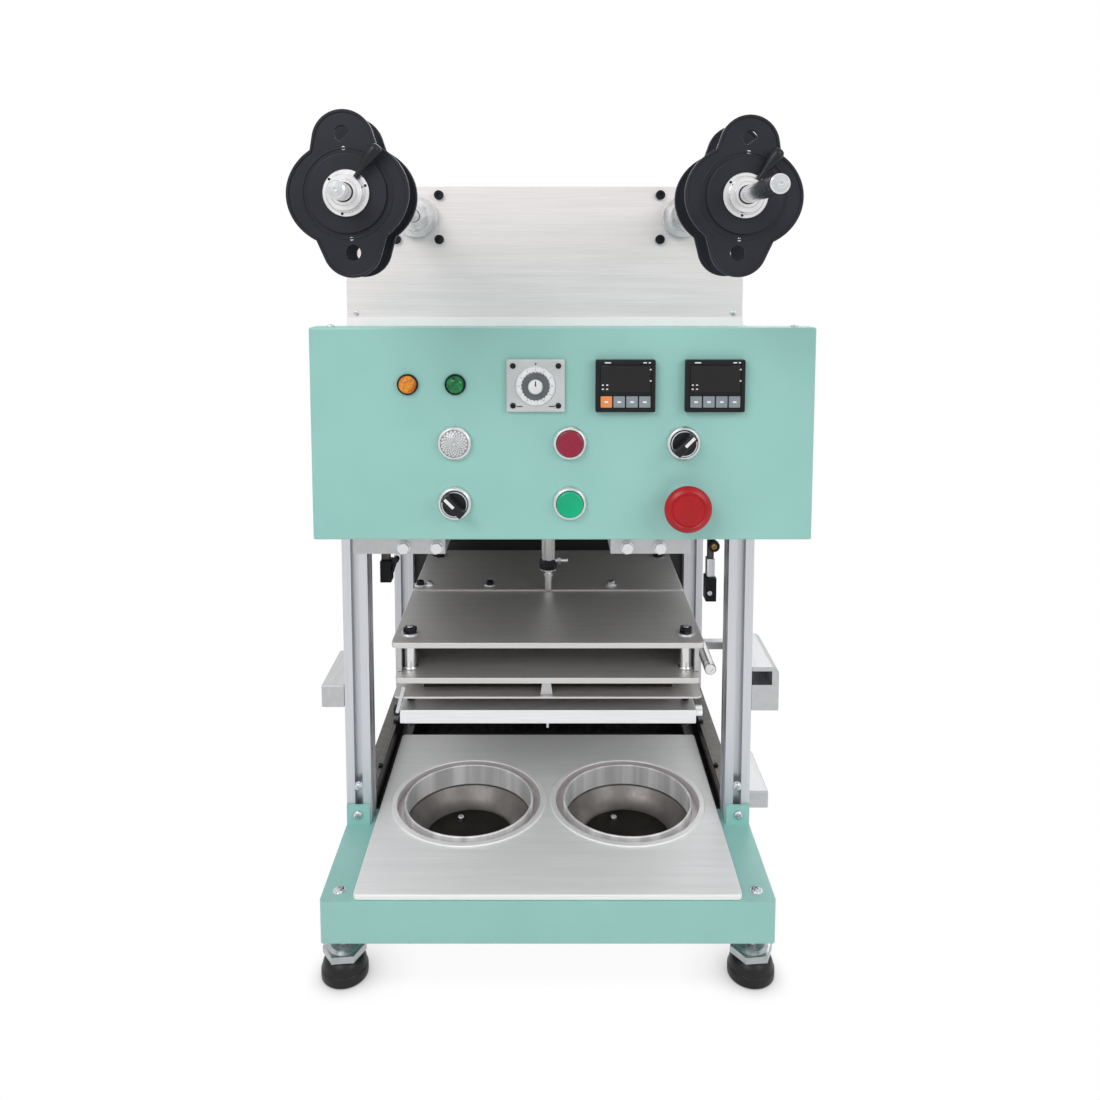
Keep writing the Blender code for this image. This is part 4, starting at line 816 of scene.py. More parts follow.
# %% [markdown]
# ## Screws of the base and columns
#
# Pan heads stand on the rim beside the tray, on the upright tabs, and in the column slots just above them.

# %% Base and column screws
tray_low, tray_high = box_of("tray_plate")
column_low, column_high = box_of("column_front_left")
TAB_RISE, TAB_FROM_EDGE, TAB_THICKNESS = 0.0112, 0.0120, 0.0028
RIM_SCREW_BACK, SLOT_SCREW_HEIGHT, PAN_RADIUS, SMALL_PAN = 0.0157, 0.1266, 0.0047, 0.0042
base_top = tray_low.z - 0.0003

shapes = []
for sign in SIDES.values():
    rim = (sign * (base_high.x + tray_high.x) / 2, base_low.y + RIM_SCREW_BACK, base_top)
    tab = (sign * (base_high.x - TAB_FROM_EDGE), column_low.y - TAB_THICKNESS, base_top + TAB_RISE)
    slot = (sign * (base_high.x - (column_high.x - column_low.x) / 2), column_low.y, SLOT_SCREW_HEIGHT)
    shapes += [
        (screw(CROSS_HEAD, PAN_RADIUS, rim, spin=0.5), zinc),
        (washer(PAN_RADIUS * 1.25, 0.002, 0.0005, rim), pale_zinc),
        (screw(CROSS_HEAD, PAN_RADIUS, tab, FRONTWARD), zinc),
        (screw(CROSS_HEAD, SMALL_PAN, slot, FRONTWARD, 0.2), zinc),
        (washer(SMALL_PAN * 1.15, 0.002, 0.0006, slot, FRONTWARD), zinc),
    ]
piece("base_and_column_screws", shapes)
print("base screws set")

# %% [markdown]
# ## Tray
#
# A 5.5 mm stainless plate with two round holes. Its long edges are eased by a file, so they draw the bright
# line that runs all round it. The plate is punched here with finer holes than the solid has.

# %% Tray plate
RING_RADIUS = (box_of("cutting_ring_left")[1].x - box_of("cutting_ring_left")[0].x) / 2
RING_BAND, TRAY_CORNER, TRAY_EASE, GAP = 0.0045, 0.0035, 0.0009, 0.0003
seat = RING_RADIUS - RING_BAND
cup_places = {side: middle(f"cutting_ring_{side}") for side in SIDES}
outlines = [rounded(tray_low.xy, tray_high.xy, TRAY_CORNER, 8)]
outlines += [circle(seat + GAP, place.xy, 96) for place in cup_places.values()]
tray_sheet = plate(outlines, tray_low.z, tray_high.z, TRAY_EASE)
piece("tray_sheet", [(tray_sheet, tray_steel)], "tray", stands_for=["tray_plate"])
print("tray punched with", len(cup_places), "holes")

# %% [markdown]
# ## Cutting rings and cup holders
#
# Each cup hangs in a turned holder inside a cutting ring. The ring's bright band stands just proud of the
# tray, then comes a channel, then the thin rim of the holder and its polished wall. Below a narrow ledge
# the wall is painted darker as painted shade and slopes in to a black pad. Both are turned with 128 steps
# so that no facet shows.

# %% Profiles of rings and holders
RING_PROUD, CHANNEL_DEPTH, ROUND_STEPS = 0.0016, 0.010, 128
HOLDER_RADIUS, HOLDER_WALL, HOLDER_DEPTH, LIP_HEIGHT = 0.0685, 0.0022, 0.044, 0.022
LEDGE, LEDGE_THICKNESS, PAD_REACH, SPOT_RADIUS = 0.0012, 0.0014, 0.047, 0.0035
SPOT_PLACE = Vector((-0.012, 0.030, 0))
ring_top = tray_high.z + RING_PROUD
channel, ledge_top = ring_top - CHANNEL_DEPTH, ring_top - LIP_HEIGHT
floor_top = ring_top - HOLDER_DEPTH + 0.002
inner, ledge_under = HOLDER_RADIUS - HOLDER_WALL, ledge_top - LEDGE_THICKNESS
ring = [(RING_RADIUS, tray_high.z + GAP), (seat, tray_high.z + GAP), (seat, ring_top - 0.0010)]
ring += [(seat - 0.0018, ring_top - 0.0010), (seat - 0.0013, ring_top), (RING_RADIUS - 0.0010, ring_top)]
ring += [(RING_RADIUS - 0.0003, ring_top - 0.0003), (RING_RADIUS, ring_top - 0.0009)]
channel_wall = [(HOLDER_RADIUS + GAP, channel - 0.002), (seat - 0.0002, channel - 0.002)]
channel_wall += [(seat - 0.0002, ring_top - 0.0012), (seat - 0.0017, ring_top - 0.0012)]
channel_wall += [(seat - 0.0017, channel), (HOLDER_RADIUS + GAP, channel)]
wall = [(inner, ledge_top), (inner, ring_top - 0.0007), (inner + 0.0005, ring_top)]
wall += [(HOLDER_RADIUS - 0.0005, ring_top), (HOLDER_RADIUS, ring_top - 0.0007)]
wall += [(HOLDER_RADIUS, channel - 0.0025)]
wall += [(HOLDER_RADIUS + 0.004, channel - 0.0025), (HOLDER_RADIUS + 0.004, channel - 0.0043)]
wall += [(HOLDER_RADIUS, channel - 0.0043), (HOLDER_RADIUS, ledge_top)]
ledge = [(HOLDER_RADIUS - 0.0002, ledge_under), (HOLDER_RADIUS - 0.0002, ledge_top)]
ledge += [(inner - LEDGE, ledge_top), (inner - LEDGE, ledge_under)]
pad = [(0, floor_top + 0.0005), (PAD_REACH - 0.0006, floor_top + 0.0005)]
pad += [(PAD_REACH, floor_top), (0, floor_top)]
cup = [(0, floor_top), (PAD_REACH + 0.002, floor_top), (PAD_REACH + 0.006, floor_top + 0.0015)]
cup += [(PAD_REACH + 0.0125, floor_top + 0.009), (inner - 0.0006, ledge_under)]
cup += [(HOLDER_RADIUS - 0.0002, ledge_under), (inner - 0.002, floor_top - 0.002), (0, floor_top - 0.002)]

# %% Rings and holders
for side, place in cup_places.items():
    at = Vector((place.x, place.y, 0))
    spot = at + SPOT_PLACE + Vector((0, 0, floor_top))
    shapes = [
        (turned(ring, at, ROUND_STEPS, True, UPWARD), ring_steel),
        (turned(channel_wall, at, ROUND_STEPS, True, UPWARD), panel_steel),
    ]
    piece(f"cutting_ring_band_{side}", shapes, "tray", stands_for=[f"cutting_ring_{side}"])
    shapes = [
        (turned(wall, at, ROUND_STEPS, True, UPWARD), wall_steel_painted_streaks),
        # Ledge and chamber take the darker steel as painted shade.
        (turned(ledge, at, ROUND_STEPS, True, UPWARD), chamber_painted_shade),
        (turned(cup, at, ROUND_STEPS, facing=UPWARD), chamber_painted_shade),
        (turned(pad, at, ROUND_STEPS, facing=UPWARD), heater_steel),
        (screw(SOCKET_HEAD, SPOT_RADIUS, spot), zinc),
    ]
    piece(f"cup_holder_wall_{side}", shapes, "tray", stands_for=[f"cup_holder_{side}"])
print("rings and holders turned")

# %% [markdown]
# ## Tray rails
#
# Two oiled steel bars guide the tray. Socket screws hold them down, and a small bright block closes each
# front end.

# %% Rail details
RAIL_SCREWS, RAIL_SCREW_RADIUS = (0.14, 0.50, 0.86), 0.0026
for side in SIDES:
    low, high = box_of(f"tray_rail_{side}")
    spots = [((low.x + high.x) / 2, low.y + (high.y - low.y) * share, high.z) for share in RAIL_SCREWS]
    shapes = [(screw(SOCKET_HEAD, RAIL_SCREW_RADIUS, spot), oxide_steel) for spot in spots]
    end_low = (low.x + 0.0004, low.y - 0.0032, low.z + 0.002)
    shapes.append((block(end_low, (high.x - 0.0004, low.y, high.z - 0.003), 0.0005), pale_zinc))
    piece(f"rail_details_{side}", shapes)
print("rails screwed down")

# %% [markdown]
# ## Press head
#
# Four plates are clamped on chromed posts. The upper plate is ground fine, so it shows the dark space
# behind it; its front edge is bright. Washers and nuts sit on its corners, side plates close the space
# below it, and a thin plate covers its rear half.

# %% Upper plate
upper_low, upper_high = box_of("head_upper_plate")
middle_low, middle_high = box_of("head_middle_plate")
NUT_RISE, WASHER_RISE, UPPER_THICKNESS, PLATE_EASE, HEAD_CORNER = 0.006, 0.0016, 0.0058, 0.0007, 0.006
POST_RADIUS, POST_IN_X, POST_IN_Y = 0.0066, 0.0155, 0.025
SIDE_PLATE_OUT, SIDE_PLATE_THICK, SIDE_PLATE_IN_Y = 0.0035, 0.0045, 0.014
upper_top = upper_high.z - NUT_RISE - WASHER_RISE
upper_under = upper_top - UPPER_THICKNESS
foot, cap, nut = middle_high.z + GAP, upper_under + 0.0005, upper_top + WASHER_RISE
edge = rounded(upper_low.xy, upper_high.xy, HEAD_CORNER)
shapes = [(plate([edge], upper_under, upper_top, PLATE_EASE), head_steel)]
for sign in SIDES.values():
    x = sign * (upper_high.x - POST_IN_X)
    for y in (upper_low.y + POST_IN_Y, upper_high.y - POST_IN_Y):
        shapes += [
            (rod(POST_RADIUS, (x, y, foot), (x, y, cap), 48), chrome),
            (washer(POST_RADIUS + 0.0012, 0.003, 0.0018, (x, y, foot)), chrome),
            (washer(0.0092, 0.003, WASHER_RISE, (x, y, upper_top)), pale_zinc),
            (hexagon(0.0118, NUT_RISE * 0.8, (x, y, nut), spin=0.3), oxide_steel),
            (threaded(0.0032, NUT_RISE, 0.001, (x, y, nut - 0.0002)), zinc),
        ]
    x0, x1 = sorted(sign * (upper_high.x - SIDE_PLATE_OUT - inset) for inset in (0, SIDE_PLATE_THICK))
    low = (x0, upper_low.y + SIDE_PLATE_IN_Y, foot)
    shapes.append((block(low, (x1, upper_high.y - SIDE_PLATE_IN_Y, upper_under + 0.0002), 0.0004), bar_steel))
piece("upper_plate_with_posts", shapes, "press_head", stands_for=["head_upper_plate"])
print("upper plate clamped")

# %% [markdown]
# The cover plate is thin sheet, notched around the press rod. Four bolts of two sizes stand in a row on it.

# %% Cover plate and bolts on top of the upper plate
COVER_THICKNESS, COVER_IN, ROD_NOTCH = 0.0015, 0.0010, 0.013
COVER_BOLTS = ((-0.1495, 0.0045, oxide_steel), (-0.1385, 0.0036, zinc))
COVER_BOLTS += ((-0.0681, 0.0042, oxide_steel), (0.0732, 0.0042, zinc))
head_middle_y = (upper_low.y + upper_high.y) / 2
bolt_y, cover_top = head_middle_y + 0.0157, upper_top + COVER_THICKNESS
cover_low = (-upper_high.x + COVER_IN, head_middle_y - COVER_IN)
edge = rounded(cover_low, (upper_high.x - COVER_IN, upper_high.y - COVER_IN), 0.003)
notched = [(x, max(y, head_middle_y + ROD_NOTCH) if abs(x) < ROD_NOTCH else y) for x, y in edge]
shapes = [(plate([notched], upper_top, cover_top, 0.0003), head_steel)]
for x, radius, metal in COVER_BOLTS:
    shapes.append((washer(radius * 1.5, 0.002, 0.0012, (x, bolt_y, cover_top)), pale_zinc))
    shapes.append((screw(SOCKET_HEAD, radius, (x, bolt_y, cover_top + 0.001)), metal))
piece("upper_cover_plate", shapes, "press_head")
print("cover plate with", len(COVER_BOLTS), "bolts")

# %% [markdown]
# ## Lower plates of the head
#
# The middle plate and the thin stripper plate are ground steel. The seal plate below is a thick milled
# aluminium bar, the brightest line of the whole head. Thumb screws clamp it from the sides, and spacers
# part the plates.

# %% Lower plates
for node, ease in (("head_middle_plate", PLATE_EASE), ("head_stripper_plate", 0.0003)):
    low, high = box_of(node)
    shape = plate([rounded(low.xy, high.xy, HEAD_CORNER)], low.z, high.z, ease)
    piece(node.replace("head_", "ground_"), [(shape, head_steel)], "press_head", stands_for=[node])

seal_low, seal_high = box_of("head_seal_plate")
strip_low, strip_high = box_of("head_stripper_plate")
SEAL_THICKNESS, SEAL_CORNER, SPACER_IN_X, SPACER_RADIUS = 0.014, 0.002, 0.008, 0.004
seal_top = seal_low.z + SEAL_THICKNESS
edge = rounded(seal_low.xy, seal_high.xy, SEAL_CORNER)
shapes = [(plate([edge], seal_low.z, seal_top, 0.0008), seal_alloy)]
for sign in SIDES.values():
    x = sign * (seal_high.x - SPACER_IN_X)
    for y in (seal_low.y + POST_IN_Y, seal_high.y - POST_IN_Y):
        spacer = rod(SPACER_RADIUS, (x, y, seal_top - 0.0002), (x, y, strip_low.z - GAP), 32)
        shapes.append((spacer, oxide_steel))
piece("seal_bar", shapes, "press_head", ["head_seal_plate"])
print("lower plates ground")

# %% [markdown]
# The seal bar's ends carry knurled thumb screws: the rim of such a head is a gear of fine teeth. A thin
# link leans at the left front, small knobs and a pin hang below the bar, and a wedge stands between the
# plates above it.

# %% Thumb screws, link and knobs
THUMB_Z, THUMB_RADIUS, THUMB_LENGTH, THUMB_TEETH = 0.2140, 0.0052, 0.0066, 48
LINK_HALF, LINK_THICK, KNOB_X, WEDGE_X = 0.0018, 0.0014, 0.1376, -0.0015
LINK_TOP, LINK_FOOT = Vector((-0.1436, 0, 0.2442)), Vector((-0.1508, 0, 0.2166))
KNOB = [(0, 0), (0.0021, 0), (0.0021, 0.0012), (0.0034, 0.0018), (0.0034, 0.0042)]
KNOB += [(0.0026, 0.0048), (0, 0.0048)]

lean = math.atan2(LINK_TOP.x - LINK_FOOT.x, LINK_TOP.z - LINK_FOOT.z)
link_outline = rounded((-LINK_HALF, 0), (LINK_HALF, (LINK_TOP - LINK_FOOT).length), LINK_HALF * 0.9)
link = placed(plate([link_outline], 0, LINK_THICK, 0.0003), (0, 0, 0), FRONTWARD)
link_at = Matrix.Translation((LINK_FOOT.x, seal_low.y - 0.0002, LINK_FOOT.z))
link.transform(link_at @ Matrix.Rotation(lean, 4, "Y"))
shapes = [(link, zinc)]
turns = [math.tau * i / THUMB_TEETH for i in range(THUMB_TEETH)]
reaches = [THUMB_RADIUS * (1.0 if i % 2 else 0.93) for i in range(THUMB_TEETH)]
rim = [(r * math.cos(t), r * math.sin(t)) for r, t in zip(reaches, turns)]
for sign, metal in ((-1, oxide_steel), (1, seal_alloy)):
    start = Vector((sign * (seal_high.x + 0.0004), seal_low.y + 0.010, THUMB_Z))
    shank = rod(0.002, start - Vector((sign * 0.004, 0, 0)), start + Vector((sign * 0.001, 0, 0)))
    shapes.append((placed(plate([rim], 0, THUMB_LENGTH, 0.0004), start, (sign, 0, 0)), metal))
    shapes.append((shank, zinc))
    knob_at = (sign * KNOB_X, seal_low.y + 0.006, seal_low.z)
    shapes.append((turned(KNOB, knob_at, 28, facing=(0, 0, -1)), knob_abs))
pin_low, pin_high = (Vector((-0.0004, seal_low.y + 0.004, seal_low.z - drop)) for drop in (0.0060, 0))
shapes.append((rod(0.0013, pin_low, pin_high, 20, 0.0003), zinc))
wedge_low, wedge_high = strip_high.z + GAP, middle_low.z - GAP
wedge = [(-0.0062, wedge_low), (0.0062, wedge_low), (0.0042, wedge_high), (-0.0042, wedge_high)]
wedge_at = (WEDGE_X, upper_low.y + 0.010, 0)
shapes.append((placed(plate([wedge], 0, 0.006, 0.0003), wedge_at, FRONTWARD), bar_steel))
piece("head_clamps_and_knobs", shapes, "press_head")
print("clamps and knobs made")

# %% [markdown]
# ## Press rod
#
# The cylinder's rod ends in a hexagon nut with an elbow fitting at its side, then a collar and a thin
# rounded end that stands on the upper plate. It is turned afresh here with smooth steps; the hexagon is
# drawn as a real nut.

# %% Press rod
rod_low, rod_high = box_of("press_rod")
ROD_RADIUS, TIP_RADIUS, ROD_NUT_TOP, ROD_NUT_HEIGHT, ROD_NUT_FLATS = 0.008, 0.004, 0.0382, 0.0118, 0.0177
COLLAR_RISE, COLLAR_HEIGHT, COLLAR_RADIUS, COLLAR_EASE = 0.0175, 0.0036, 0.0055, 0.0004
nut_low, tip = rod_low.z + ROD_NUT_TOP - ROD_NUT_HEIGHT, rod_low.z
collar_low, collar_top = tip + COLLAR_RISE, tip + COLLAR_RISE + COLLAR_HEIGHT
stem = [(0, tip), (TIP_RADIUS * 0.55, tip), (TIP_RADIUS * 0.9, tip + 0.0012), (TIP_RADIUS, tip + 0.003)]
stem += [(TIP_RADIUS, collar_low), (COLLAR_RADIUS - COLLAR_EASE, collar_low)]
stem += [(COLLAR_RADIUS, collar_low + COLLAR_EASE), (COLLAR_RADIUS, collar_top - COLLAR_EASE)]
stem += [(COLLAR_RADIUS - COLLAR_EASE, collar_top), (TIP_RADIUS, collar_top), (TIP_RADIUS, nut_low + 0.001)]
stem += [(ROD_RADIUS, nut_low + ROD_NUT_HEIGHT - 0.001), (ROD_RADIUS, rod_high.z), (0, rod_high.z)]
fitting = Vector((0, head_middle_y, nut_low + ROD_NUT_HEIGHT * 0.8))
shapes = [
    (turned(stem, (0, head_middle_y, 0), facing=UPWARD), chrome),
    (hexagon(ROD_NUT_FLATS, ROD_NUT_HEIGHT * 0.92, (0, head_middle_y, nut_low), spin=0.15), oxide_steel),
    (washer(0.0098, 0.004, 0.0012, (0, head_middle_y, nut_low - 0.0010)), zinc),
    (rod(0.0026, fitting, fitting + Vector((0.0225, 0, 0)), 24, 0.0004), pale_zinc),
    (hexagon(0.0068, 0.004, fitting + Vector((0.0105, 0, 0)), (1, 0, 0)), pale_zinc),
]
piece("press_rod_end", shapes, "press_head", ["press_rod"])
print("press rod turned")

# %% [markdown]
# ## Reel panel
#
# One sheet of brushed stainless steel stands behind the fascia and carries both reels. It is punched from
# its outline with a seat for each bearing, and stood up so that the brush lines run across. Two small
# screws hold its foot.

# %% Reel panel
panel_low, panel_high = box_of("reel_panel")
PANEL_SHEET, PANEL_FOLD_BACK, BEARING_SEAT_RADIUS = 0.004, 0.001, 0.0150
FOOT_SCREW_IN, FOOT_SCREW_UP, FOOT_SCREW_RADIUS = 0.0095, 0.0045, 0.0028
shafts = {side: middle(f"reel_shaft_{side}") for side in SIDES}
shaft_height = shafts["left"].z
outlines = [rounded((panel_low.x, panel_low.z), (panel_high.x, panel_high.z), 0.0012, 3)]
outlines += [circle(BEARING_SEAT_RADIUS, (place.x, shaft_height), 48) for place in shafts.values()]
sheet = placed(plate(outlines, 0, PANEL_SHEET, 0.0005), (0, panel_low.y + PANEL_SHEET, 0), FRONTWARD)
fold_low = (panel_low.x, panel_low.y + PANEL_FOLD_BACK, panel_low.z)
fold = block(fold_low, (panel_high.x, panel_high.y, panel_low.z + PANEL_SHEET), 0.0005)
shapes = [(sheet, panel_steel), (fold, panel_steel)]
screw_z = box_of("reel_panel_foot")[1].z + FOOT_SCREW_UP
for x in (panel_low.x + FOOT_SCREW_IN, panel_high.x - FOOT_SCREW_IN):
    shapes.append((screw(CROSS_HEAD, FOOT_SCREW_RADIUS, (x, panel_low.y, screw_z), FRONTWARD), zinc))
piece("reel_panel_sheet", shapes, stands_for=["reel_panel"])
print("reel panel punched")

# %% [markdown]
# ## Bearings and shafts
#
# A stepped bearing block carries each shaft, with four black socket screws around it. The shafts are ground
# and chromed. Their front ends are sawn and chamfered, so the face is duller than the side.

# %% Profiles of bearings and shafts
BEARING_RADIUS, BEARING_LENGTH, NOSE, FLANGE, EDGE = 0.0206, 0.030, 0.0150, 0.010, 0.0005
SHAFT_RADIUS, SHAFT_CHAMFER, SHAFT_PLAY = 0.006, 0.0009, 0.0004
SCREW_ACROSS, SCREW_UP, SOCKET_RADIUS = 0.0220, 0.0225, 0.0048
bore = SHAFT_RADIUS + SHAFT_PLAY
bearing = [(bore, 0.0003), (BEARING_RADIUS - EDGE, 0.0003), (BEARING_RADIUS, 0.0008)]
bearing += [(BEARING_RADIUS, FLANGE * 0.42), (BEARING_RADIUS - 0.0006, FLANGE * 0.46)]
bearing += [(BEARING_RADIUS - 0.0006, FLANGE * 0.54), (BEARING_RADIUS, FLANGE * 0.58)]
bearing += [(BEARING_RADIUS, FLANGE - EDGE), (BEARING_RADIUS - EDGE, FLANGE), (NOSE, FLANGE)]
bearing += [(NOSE, BEARING_LENGTH * 0.62), (NOSE - 0.0007, BEARING_LENGTH * 0.64)]
bearing += [(NOSE - 0.0007, BEARING_LENGTH * 0.69), (NOSE, BEARING_LENGTH * 0.71)]
bearing += [(NOSE, BEARING_LENGTH - EDGE), (NOSE - EDGE, BEARING_LENGTH), (NOSE * 0.72, BEARING_LENGTH)]
bearing += [(NOSE * 0.70, BEARING_LENGTH - 0.0008), (bore, BEARING_LENGTH - 0.0008)]

# %% Bearings and shafts
for side, place in shafts.items():
    shapes = [(turned(bearing, (place.x, panel_low.y, shaft_height), 72, True), turned_steel)]
    for across in (-1, 1):
        for up in (-1, 1):
            spot = (place.x + across * SCREW_ACROSS, panel_low.y, shaft_height + up * SCREW_UP)
            shapes.append((washer(SOCKET_RADIUS * 1.2, 0.002, 0.0006, spot, FRONTWARD), pale_zinc))
            shapes.append((screw(SOCKET_HEAD, SOCKET_RADIUS, spot, FRONTWARD, across * 0.4), oxide_steel))
    piece(f"bearing_block_{side}", shapes, stands_for=[f"reel_bearing_{side}"])
    low, high = box_of(f"reel_shaft_{side}")
    length, sawn = high.y - low.y, SHAFT_RADIUS - SHAFT_CHAMFER
    bar = [(0, 0), (sawn, 0), (SHAFT_RADIUS, SHAFT_CHAMFER), (SHAFT_RADIUS, length - SHAFT_CHAMFER)]
    bar.append((sawn, length - 0.0002))
    face = [bar[-1], (0.0012, length), (0.0010, length - 0.0008), (0, length - 0.0010)]
    at = (place.x, high.y, shaft_height)
    shapes = [(turned(bar, at), chrome), (turned(face, at), zinc)]
    piece(f"ground_shaft_{side}", shapes, f"{side}_reel", [f"reel_shaft_{side}"])
print("bearings and shafts turned")

# %% [markdown]
# ## Lobed discs
#
# The film's core sits between two black moulded discs on each shaft. A disc is an oval with a round lobe
# above and below; its outline is made of four arcs joined by short straight necks. The rim and the middle
# stand proud of the web. The solids use few steps for these arcs, so the discs are drawn again here with
# many, and with eased edges.

# %% Disc outline
DISC_RADIUS, DISC_HALF_HEIGHT, LOBE_STEPS, OVAL_STEPS = 0.0412, 0.0362, 36, 40
UPPER_LOBE, LOWER_LOBE = (0.0348, 0.0207), (0.0362, 0.0201)
UPPER_NECK, LOWER_NECK = math.radians(57), math.radians(55)


def lobe_arc(offset, radius, neck, inset):
    """The round end of a lobe, from the neck on its right to the neck on its left."""
    across = (DISC_RADIUS - inset) * math.cos(neck)
    rise = (DISC_HALF_HEIGHT - inset) * math.sin(neck) - offset
    reach = radius - inset
    meets = math.atan2(rise, across) + math.acos(reach / math.hypot(across, rise))
    turns = [meets + (math.pi - 2 * meets) * i / LOBE_STEPS for i in range(LOBE_STEPS + 1)]
    return [(reach * math.cos(t), offset + reach * math.sin(t)) for t in turns]


def disc_outline(inset=0.0):
    """The whole edge of a disc, or a copy of it drawn inwards."""
    turns = [(UPPER_NECK + LOWER_NECK) * i / OVAL_STEPS - LOWER_NECK for i in range(OVAL_STEPS + 1)]
    right = [((DISC_RADIUS - inset) * math.cos(t), (DISC_HALF_HEIGHT - inset) * math.sin(t)) for t in turns]
    left = [(-x, y) for x, y in reversed(right)]
    below = lobe_arc(*LOWER_LOBE, LOWER_NECK, inset)
    return right + lobe_arc(*UPPER_LOBE, UPPER_NECK, inset) + left + [(-x, -y) for x, y in below]


def flatted(radius, at, turn, depth):
    """A round hole with one flat side."""
    points = []
    for x, y in circle(radius, steps=40):
        cut = max(x * math.cos(turn) + y * math.sin(turn) - radius * depth, 0)
        points.append((at[0] + x - cut * math.cos(turn), at[1] + y - cut * math.sin(turn)))
    return points


# %% [markdown]
# Each disc is built up flat from punched plates, like layers of a cake, and then stood up and leaned.

# %% Discs
STEP_RADIUS, STEP_HEIGHT, RECESS, RIM, SUNK = 0.0266, 0.0016, 0.0008, 0.0020, 0.0004
WEB_HOLE, WEB_UP, PIN_HOLE, PIN_UP = 0.0054, 0.0395, 0.0016, 0.0300
DISC_LEAN = {"left": math.radians(4.2), "right": math.radians(-5.3)}
PIN = [(0, 0), (PIN_HOLE - 0.0002, 0), (PIN_HOLE - 0.0002, 0.0008), (0.0009, 0.0011), (0, 0.0011)]


def disc_shapes(front):
    """A disc drawn flat: the web with its holes, the proud rim and the proud middle."""
    web_top = front - STEP_HEIGHT - RECESS
    hub = circle(bore, steps=40)
    holes = [flatted(WEB_HOLE, (0, WEB_UP), math.radians(-50), 0.45), circle(WEB_HOLE, (0, -WEB_UP), 40)]
    holes += [circle(PIN_HOLE, (0, up), 16) for up in (PIN_UP, -PIN_UP)]
    ridge = [circle(STEP_RADIUS + 0.004, steps=96), circle(STEP_RADIUS + 0.0028, steps=96)]
    plates = [
        plate([disc_outline()] + holes + [hub], 0, web_top, 0.0003),
        plate([disc_outline(), disc_outline(RIM)], web_top - SUNK, web_top + RECESS, 0.0004),
        plate([circle(STEP_RADIUS, steps=96), hub], web_top - SUNK, front, 0.0006),
        plate(ridge, web_top - SUNK, web_top + 0.0005, 0.0003),
    ]
    pins = [placed(lathe(PIN, 20), (0, up, web_top - 0.0010)) for up in (-PIN_UP, PIN_UP)]
    return [(shape, disc_abs) for shape in plates] + [(pin, zinc) for pin in pins]


for side, place in shafts.items():
    for layer in ("front", "back"):
        node = f"reel_{layer}_disc_{side}"
        low, high = box_of(node)
        shapes = disc_shapes(high.y - low.y)
        for shape, material in shapes:
            placed(shape, (place.x, high.y, shaft_height), FRONTWARD, DISC_LEAN[side])
        piece(f"lobed_disc_{layer}_{side}", shapes, f"{side}_reel_{layer}", [node])
print("discs moulded: 4")

# %% [markdown]
# ## Clamping collars and levers
#
# A bright stepped collar in front of each disc clamps it on the shaft. It has turned grooves and three grub
# screws in its flange, and a black ball-ended lever tightens it.

# %% Profiles of collars and levers
CLAMP_RADIUS, CLAMP_FLANGE, CLAMP_LENGTH, CLAMP_EASE, GROOVE = 0.0155, 0.003, 0.011, 0.0004, 0.0007
CLAMP_BODY, CLAMP_SHOULDER, CLAMP_NOSE = 0.0119, 0.009, 0.0082
LEVER_LENGTH, LEVER_TIP, LEVER_NECK, LEVER_BACK = 0.026, 0.0045, 0.0018, 0.0057
LEVER_TURN, GRUB_TURNS, GRUB_RADIUS = math.radians(36), (20, 140, 260), 0.0009
collar = [(bore, 0), (CLAMP_RADIUS - 0.0003, 0), (CLAMP_RADIUS, 0.0003)]
collar += [(CLAMP_RADIUS, CLAMP_FLANGE - CLAMP_EASE)]
collar += [(CLAMP_RADIUS - CLAMP_EASE, CLAMP_FLANGE), (CLAMP_BODY + 0.0014, CLAMP_FLANGE)]
collar += [(CLAMP_BODY + 0.0010, CLAMP_FLANGE - GROOVE), (CLAMP_BODY + 0.0003, CLAMP_FLANGE - GROOVE)]
collar += [(CLAMP_BODY, CLAMP_FLANGE), (CLAMP_BODY, CLAMP_SHOULDER - CLAMP_EASE)]
collar += [(CLAMP_BODY - CLAMP_EASE, CLAMP_SHOULDER), (CLAMP_NOSE + 0.0009, CLAMP_SHOULDER)]
collar += [(CLAMP_NOSE + 0.0006, CLAMP_SHOULDER - GROOVE), (CLAMP_NOSE, CLAMP_SHOULDER - GROOVE)]
collar += [(CLAMP_NOSE, CLAMP_LENGTH - CLAMP_EASE), (CLAMP_NOSE - CLAMP_EASE, CLAMP_LENGTH)]
collar += [(bore + CLAMP_EASE, CLAMP_LENGTH), (bore, CLAMP_LENGTH - CLAMP_EASE)]
HANDLE = ((0.72, 0.50), (0.92, 0.68), (1, 0.83), (0.93, 0.92), (0.70, 0.975), (0.35, 0.997), (0, 1))
handle = [(0, 0), (LEVER_NECK, 0), (LEVER_NECK, LEVER_LENGTH * 0.22)]
handle += [(LEVER_NECK * 1.15, LEVER_LENGTH * 0.32)]
handle += [(LEVER_TIP * wide, LEVER_LENGTH * along) for wide, along in HANDLE]

